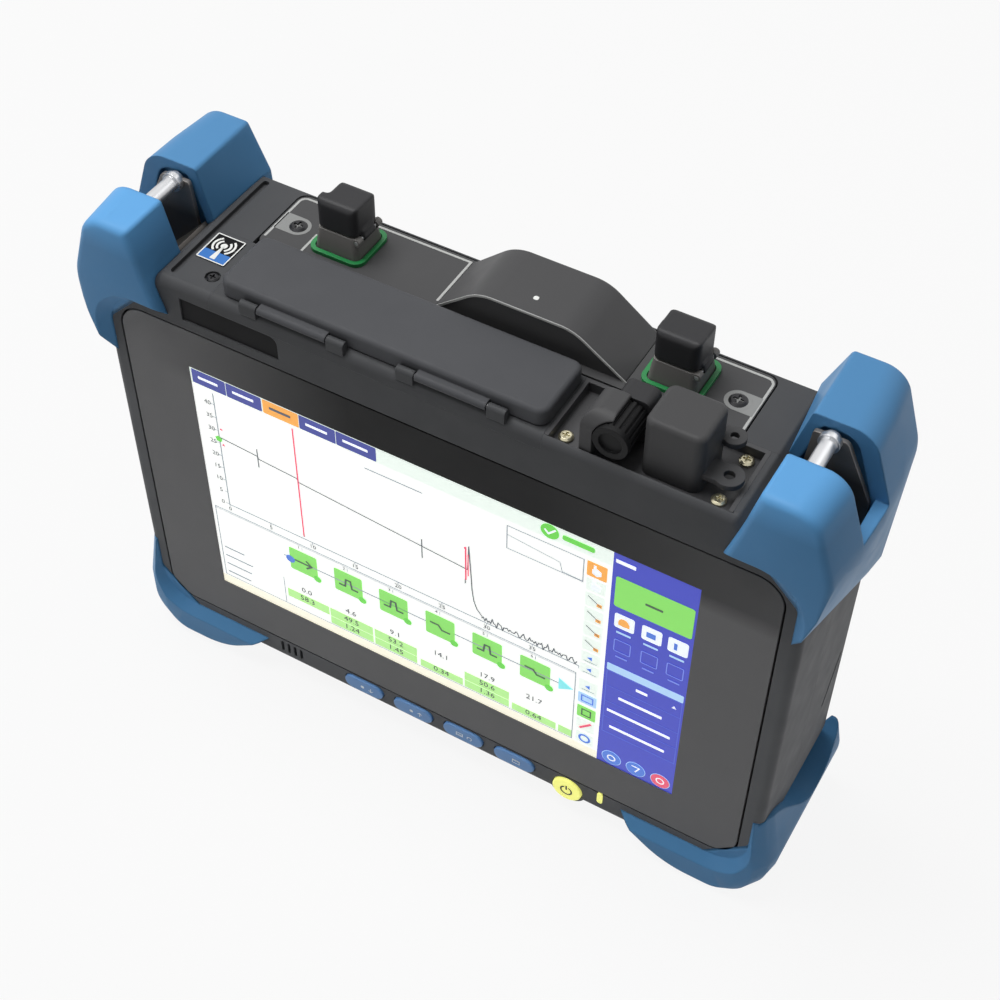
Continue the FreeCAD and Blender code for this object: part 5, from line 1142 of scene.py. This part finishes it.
@dataclass
class AerialLabel:
    """The small label with a mast and radio waves, on the deck beside the door."""

    rim: float = 0.35  # width of the pale rim
    corner: float = 0.3  # radius of its corners
    foot: float = 0.36  # share of the label that is blue
    ball: float = 0.63  # the ball's height, as a share of the label
    ball_radius: float = 0.95  # radius of the ball
    ball_sides: int = 28  # sides of the ball's outline
    mast: float = 0.42  # width of the mast's lines
    # how far the foot of each of those lines stands aside
    leans: tuple[float, ...] = (-0.6, -0.3, 0.0, 0.3, 0.6)
    mast_foot: float = 1.1  # the mast's foot above the label's near edge
    waves: Point = (1.9, 3.05)  # radii of the waves
    wave: float = 0.62  # width of a wave's line
    spread: float = 50  # half the angle that a wave takes up, in degrees
    steps: int = 8  # strokes in each wave
    lift: float = 0.03  # thickness of the ink
    sink: float = 0.005  # how far the blue foot stands in the label
    clear: float = 0.01  # room between the label and the pale ink

    def build(self) -> None:
        """Draws the blue foot, the rim, the ball, the mast and the waves."""
        low, high = (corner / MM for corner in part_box("antenna_label"))
        tall = high.y - low.y
        foot = Print("aerial_label_foot", Facing.TOP, high.z - self.sink, self.lift)
        foot.plate((low.x + self.rim, low.y + self.rim), (high.x - self.rim, low.y + tall * self.foot))
        foot.done("label_black", LABEL_BLUE)
        mark = Print("aerial_label_mark", Facing.TOP, high.z + self.clear, self.lift)
        mark.border((low.x, low.y), (high.x, high.y), self.rim, self.corner)
        ball = ((low.x + high.x) / 2, low.y + tall * self.ball)
        mark.disc(ball, self.ball_radius, self.ball_sides)
        for lean in self.leans:
            mark.stroke((ball, (ball[0] + lean, low.y + self.mast_foot)), self.mast)
        for radius in self.waves:
            for side in (0, 180):
                mark.arc(ball, radius, self.wave, side - self.spread, side + self.spread, self.steps)
        mark.done("label_black", LINE_WHITE)


@dataclass
class KeyPrints:
    """The signs on the four keys and on the power button."""

    line: float = 0.28  # width of the signs' lines
    power_line: float = 0.55  # width of the power sign's lines
    lift: float = 0.02  # thickness of the ink
    clear: float = 0.004  # room between the key and the ink

    def _open(self, node: str) -> Print:
        """Opens a print on a key's face.

        Args:
            node: the key.

        Returns:
            The print, which counts from the middle of the key.
        """
        low, high = (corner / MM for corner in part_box(node))
        middle = (low + high) / 2
        return Print(f"{node}_sign", Facing.FRONT, low.y - self.clear, self.lift, corner=(middle.x, middle.z))

    def arrows(self) -> None:
        """Draws a knob and an arrow on two keys, pointing down on the first and up on the second."""
        for node, way in (("key_1", -1), ("key_2", 1)):
            ink = self._open(node)
            ink.disc((-0.4, 0), 0.62, 16)
            ink.stroke(((2.6, -0.8), (2.6, 0.8)), self.line)
            ink.stroke(((1.9, 0.15 * way), (2.6, 0.85 * way), (3.3, 0.15 * way)), self.line)
            ink.done("key_blue", GLYPH, node)

    def keyboard(self) -> None:
        """Draws a small keyboard and a turning arrow."""
        ink = self._open("key_3")
        ink.border((-2.2, -0.8), (0.2, 0.8), self.line)
        ink.stroke(((-1.7, -0.2), (-0.3, -0.2)), self.line)
        ink.arc((2.4, 0), 0.75, self.line, -60, 210, 10)
        ink.done("key_blue", GLYPH, "key_3")

    def window(self) -> None:
        """Draws a window with its head bar."""
        ink = self._open("key_4")
        ink.border((-0.4, -0.9), (2.2, 0.9), self.line)
        ink.stroke(((-0.3, 0.4), (2.1, 0.4)), self.line)
        ink.done("key_blue", GLYPH, "key_4")

    def power(self) -> None:
        """Draws the broken ring and the stroke of the power sign."""
        ink = self._open("power_button")
        ink.arc((0, -0.15), 1.75, self.power_line, 118, 422, 22)
        ink.stroke(((0, 0.4), (0, 2.1)), self.power_line)
        ink.done("lamp_yellow", GLYPH_DARK, "power_button")

    def build(self) -> None:
        """Draws the signs of all keys."""
        for sign in (self.arrows, self.keyboard, self.window, self.power):
            sign()


# ---- Moulded pieces that are shown smoother than their solids ----


@dataclass
class Bumpers:
    """The four corner bumpers of blue rubber, with their rounds shaded smooth."""

    angle: float = 34.0  # edges flatter than this many degrees flow into each other

    def build(self) -> None:
        """Makes a smooth copy of each bumper."""
        for node in ("upper_bumper_right", "upper_bumper_left", "lower_bumper_right", "lower_bumper_left"):
            fix(smooth_copy(node, self.angle), CHASSIS, "bumper_rubber", RUBBER)


@dataclass
class DustCaps:
    """The two flip caps of the optical ports, moulded in rubber with soft edges all over."""

    angle: float = 50.0  # edges flatter than this many degrees flow into each other
    cell: float = 0.3  # width of one cell of the remade surface
    passes: int = 14  # rounds of smoothing that soften the edges
    share: float = 0.5  # how far a point moves in each round

    def build(self) -> None:
        """Makes a soft-edged copy of each cap."""
        for node in ("dust_cap_left", "dust_cap_right"):
            piece = smooth_copy(node, self.angle)
            cells = piece.modifiers.new("cells", "REMESH")
            cells.mode = "VOXEL"
            cells.voxel_size = self.cell * MM
            bpy.ops.object.modifier_apply(modifier=cells.name)
            softening = piece.modifiers.new("softening", "SMOOTH")
            softening.factor = self.share
            softening.iterations = self.passes
            bpy.ops.object.modifier_apply(modifier=softening.name)
            bpy.ops.object.shade_smooth_by_angle(angle=math.radians(self.angle))
            fix(piece, node, "cap_rubber", CAP)


# ---- Studio ----


@dataclass
class Lamp:
    """A soft rectangular lamp."""

    name: str  # its name
    place: Place  # its place, in metres
    side: float  # its side, in metres
    power: float  # its power, in watts

    def build(self, target: Vector) -> None:
        """Hangs the lamp.

        Args:
            target: the point that it shines on.
        """
        data = bpy.data.lights.new(self.name, "AREA")
        data.shape = "SQUARE"
        data.size = self.side
        data.energy = self.power
        lamp = bpy.data.objects.new(self.name, data)
        lamp.location = self.place
        lamp.rotation_euler = (target - Vector(self.place)).to_track_quat("-Z", "Y").to_euler()
        bpy.context.collection.objects.link(lamp)


@dataclass
class Studio:
    """The pale floor, the soft lamps, the white room and the camera."""

    eye: Place = (0.16734, -0.28610, 0.46490)  # the camera's place, in metres
    turn: Place = (41.468, -0.491, 29.868)  # the camera's rotation, in degrees
    lens: float = 65.216  # its focal length
    film: float = 36.0  # width of its film
    floor: float = 4.0  # half the floor's side, in metres
    drop: float = 0.0002  # the floor's depth below the object, in metres
    paper: Point = (0.52, 0.56)  # darkest and lightest grey of the floor
    cloud: float = 6.0  # repeats of its uneven grey in a metre
    bright: float = 0.9  # share of white in the floor where it is seen directly
    ambient: float = 0.22  # strength of the room's light
    # the soft lamps
    lamps: tuple[Lamp, ...] = (
        Lamp("key_lamp", (-0.4, -0.02, 1.25), 0.7, 14.5),
        Lamp("front_lamp", (-0.75, -1.15, 0.4), 0.8, 2.2),
        Lamp("back_lamp", (0.5, 1.1, 0.9), 0.9, 2.4),
    )

    def camera(self) -> None:
        """Sets the camera."""
        data = bpy.data.cameras.new("camera")
        data.lens = self.lens
        data.sensor_width = self.film
        data.clip_start = 0.01
        camera = bpy.data.objects.new("camera", data)
        camera.location = self.eye
        camera.rotation_euler = [math.radians(angle) for angle in self.turn]
        bpy.context.collection.objects.link(camera)
        bpy.context.scene.camera = camera

    def room(self) -> None:
        """Lights the room evenly and shows it white."""
        world = bpy.data.worlds.new("room")
        bpy.context.scene.world = world
        wiring = Wiring(world)
        light = wiring.tree.nodes["Background"]
        for socket, value in zip(light.inputs, (WHITE, self.ambient)):
            wiring.feed(socket, value)
        white = wiring.node("Background", Color=WHITE, Strength=1.0)
        wiring.shown(light.outputs[0], white.outputs[0], wiring.seen_directly(), "World Output")

    def ground(self) -> None:
        """Lays the pale floor, which looks white where no shadow falls."""
        deselect()
        bpy.ops.mesh.primitive_plane_add(size=2 * self.floor, location=(0, 0, -self.drop))
        floor = bpy.context.object
        floor.name = "floor"
        bpy.ops.object.transform_apply(location=True, rotation=True, scale=True)
        material = bpy.data.materials.new("floor_paper")
        wiring = Wiring(material)
        shader = wiring.tree.nodes["Principled BSDF"]
        noise = wiring.node("TexNoise", Scale=self.cloud)
        ramp = wiring.node("ValToRGB", Fac=noise.outputs["Fac"])
        for stop, grey in zip(ramp.color_ramp.elements, self.paper):
            stop.color = (grey, grey, grey, 1)
        looks = {"Roughness": 0.9, "Specular IOR Level": 0.0, "Base Color": ramp.outputs["Color"]}
        for name, value in looks.items():
            wiring.feed(shader.inputs[name], value)
        white = wiring.node("Emission", Strength=1.0)
        share = wiring.maths("Math", "MULTIPLY", wiring.seen_directly(), self.bright)["Value"]
        wiring.shown(shader.outputs[0], white.outputs[0], share, "Material Output")
        floor.data.materials.append(material)

    def build(self) -> None:
        """Builds the studio round the object."""
        low, high = (Vector(corner) for corner in CAD_BOX)
        for lamp in self.lamps:
            lamp.build((low + high) / 2)
        self.camera()
        self.room()
        self.ground()
        bpy.context.scene.view_settings.view_transform = "Standard"


def dress_frame() -> None:
    """Gives every CAD node its finish."""
    for finish, nodes in DRESSES.items():
        for node in nodes.split():
            dress(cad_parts[node], finish)
            log.info("%s: %s", node, finish.name)


def main() -> None:
    """Dresses the CAD nodes, adds the finer pieces and sets the studio."""
    logging.basicConfig(level=logging.INFO, format="%(message)s")
    dress_frame()
    for assembly in (Bumpers(), DustCaps(), ScreenPicture(), DeckPrints(), FrontPrints(), HumpTrim(),
                     AerialLabel(), KeyPrints(), Studio()):
        assembly.build()
        log.info("built %s", type(assembly).__name__)
    deselect()


if __name__ == "__main__":
    main()
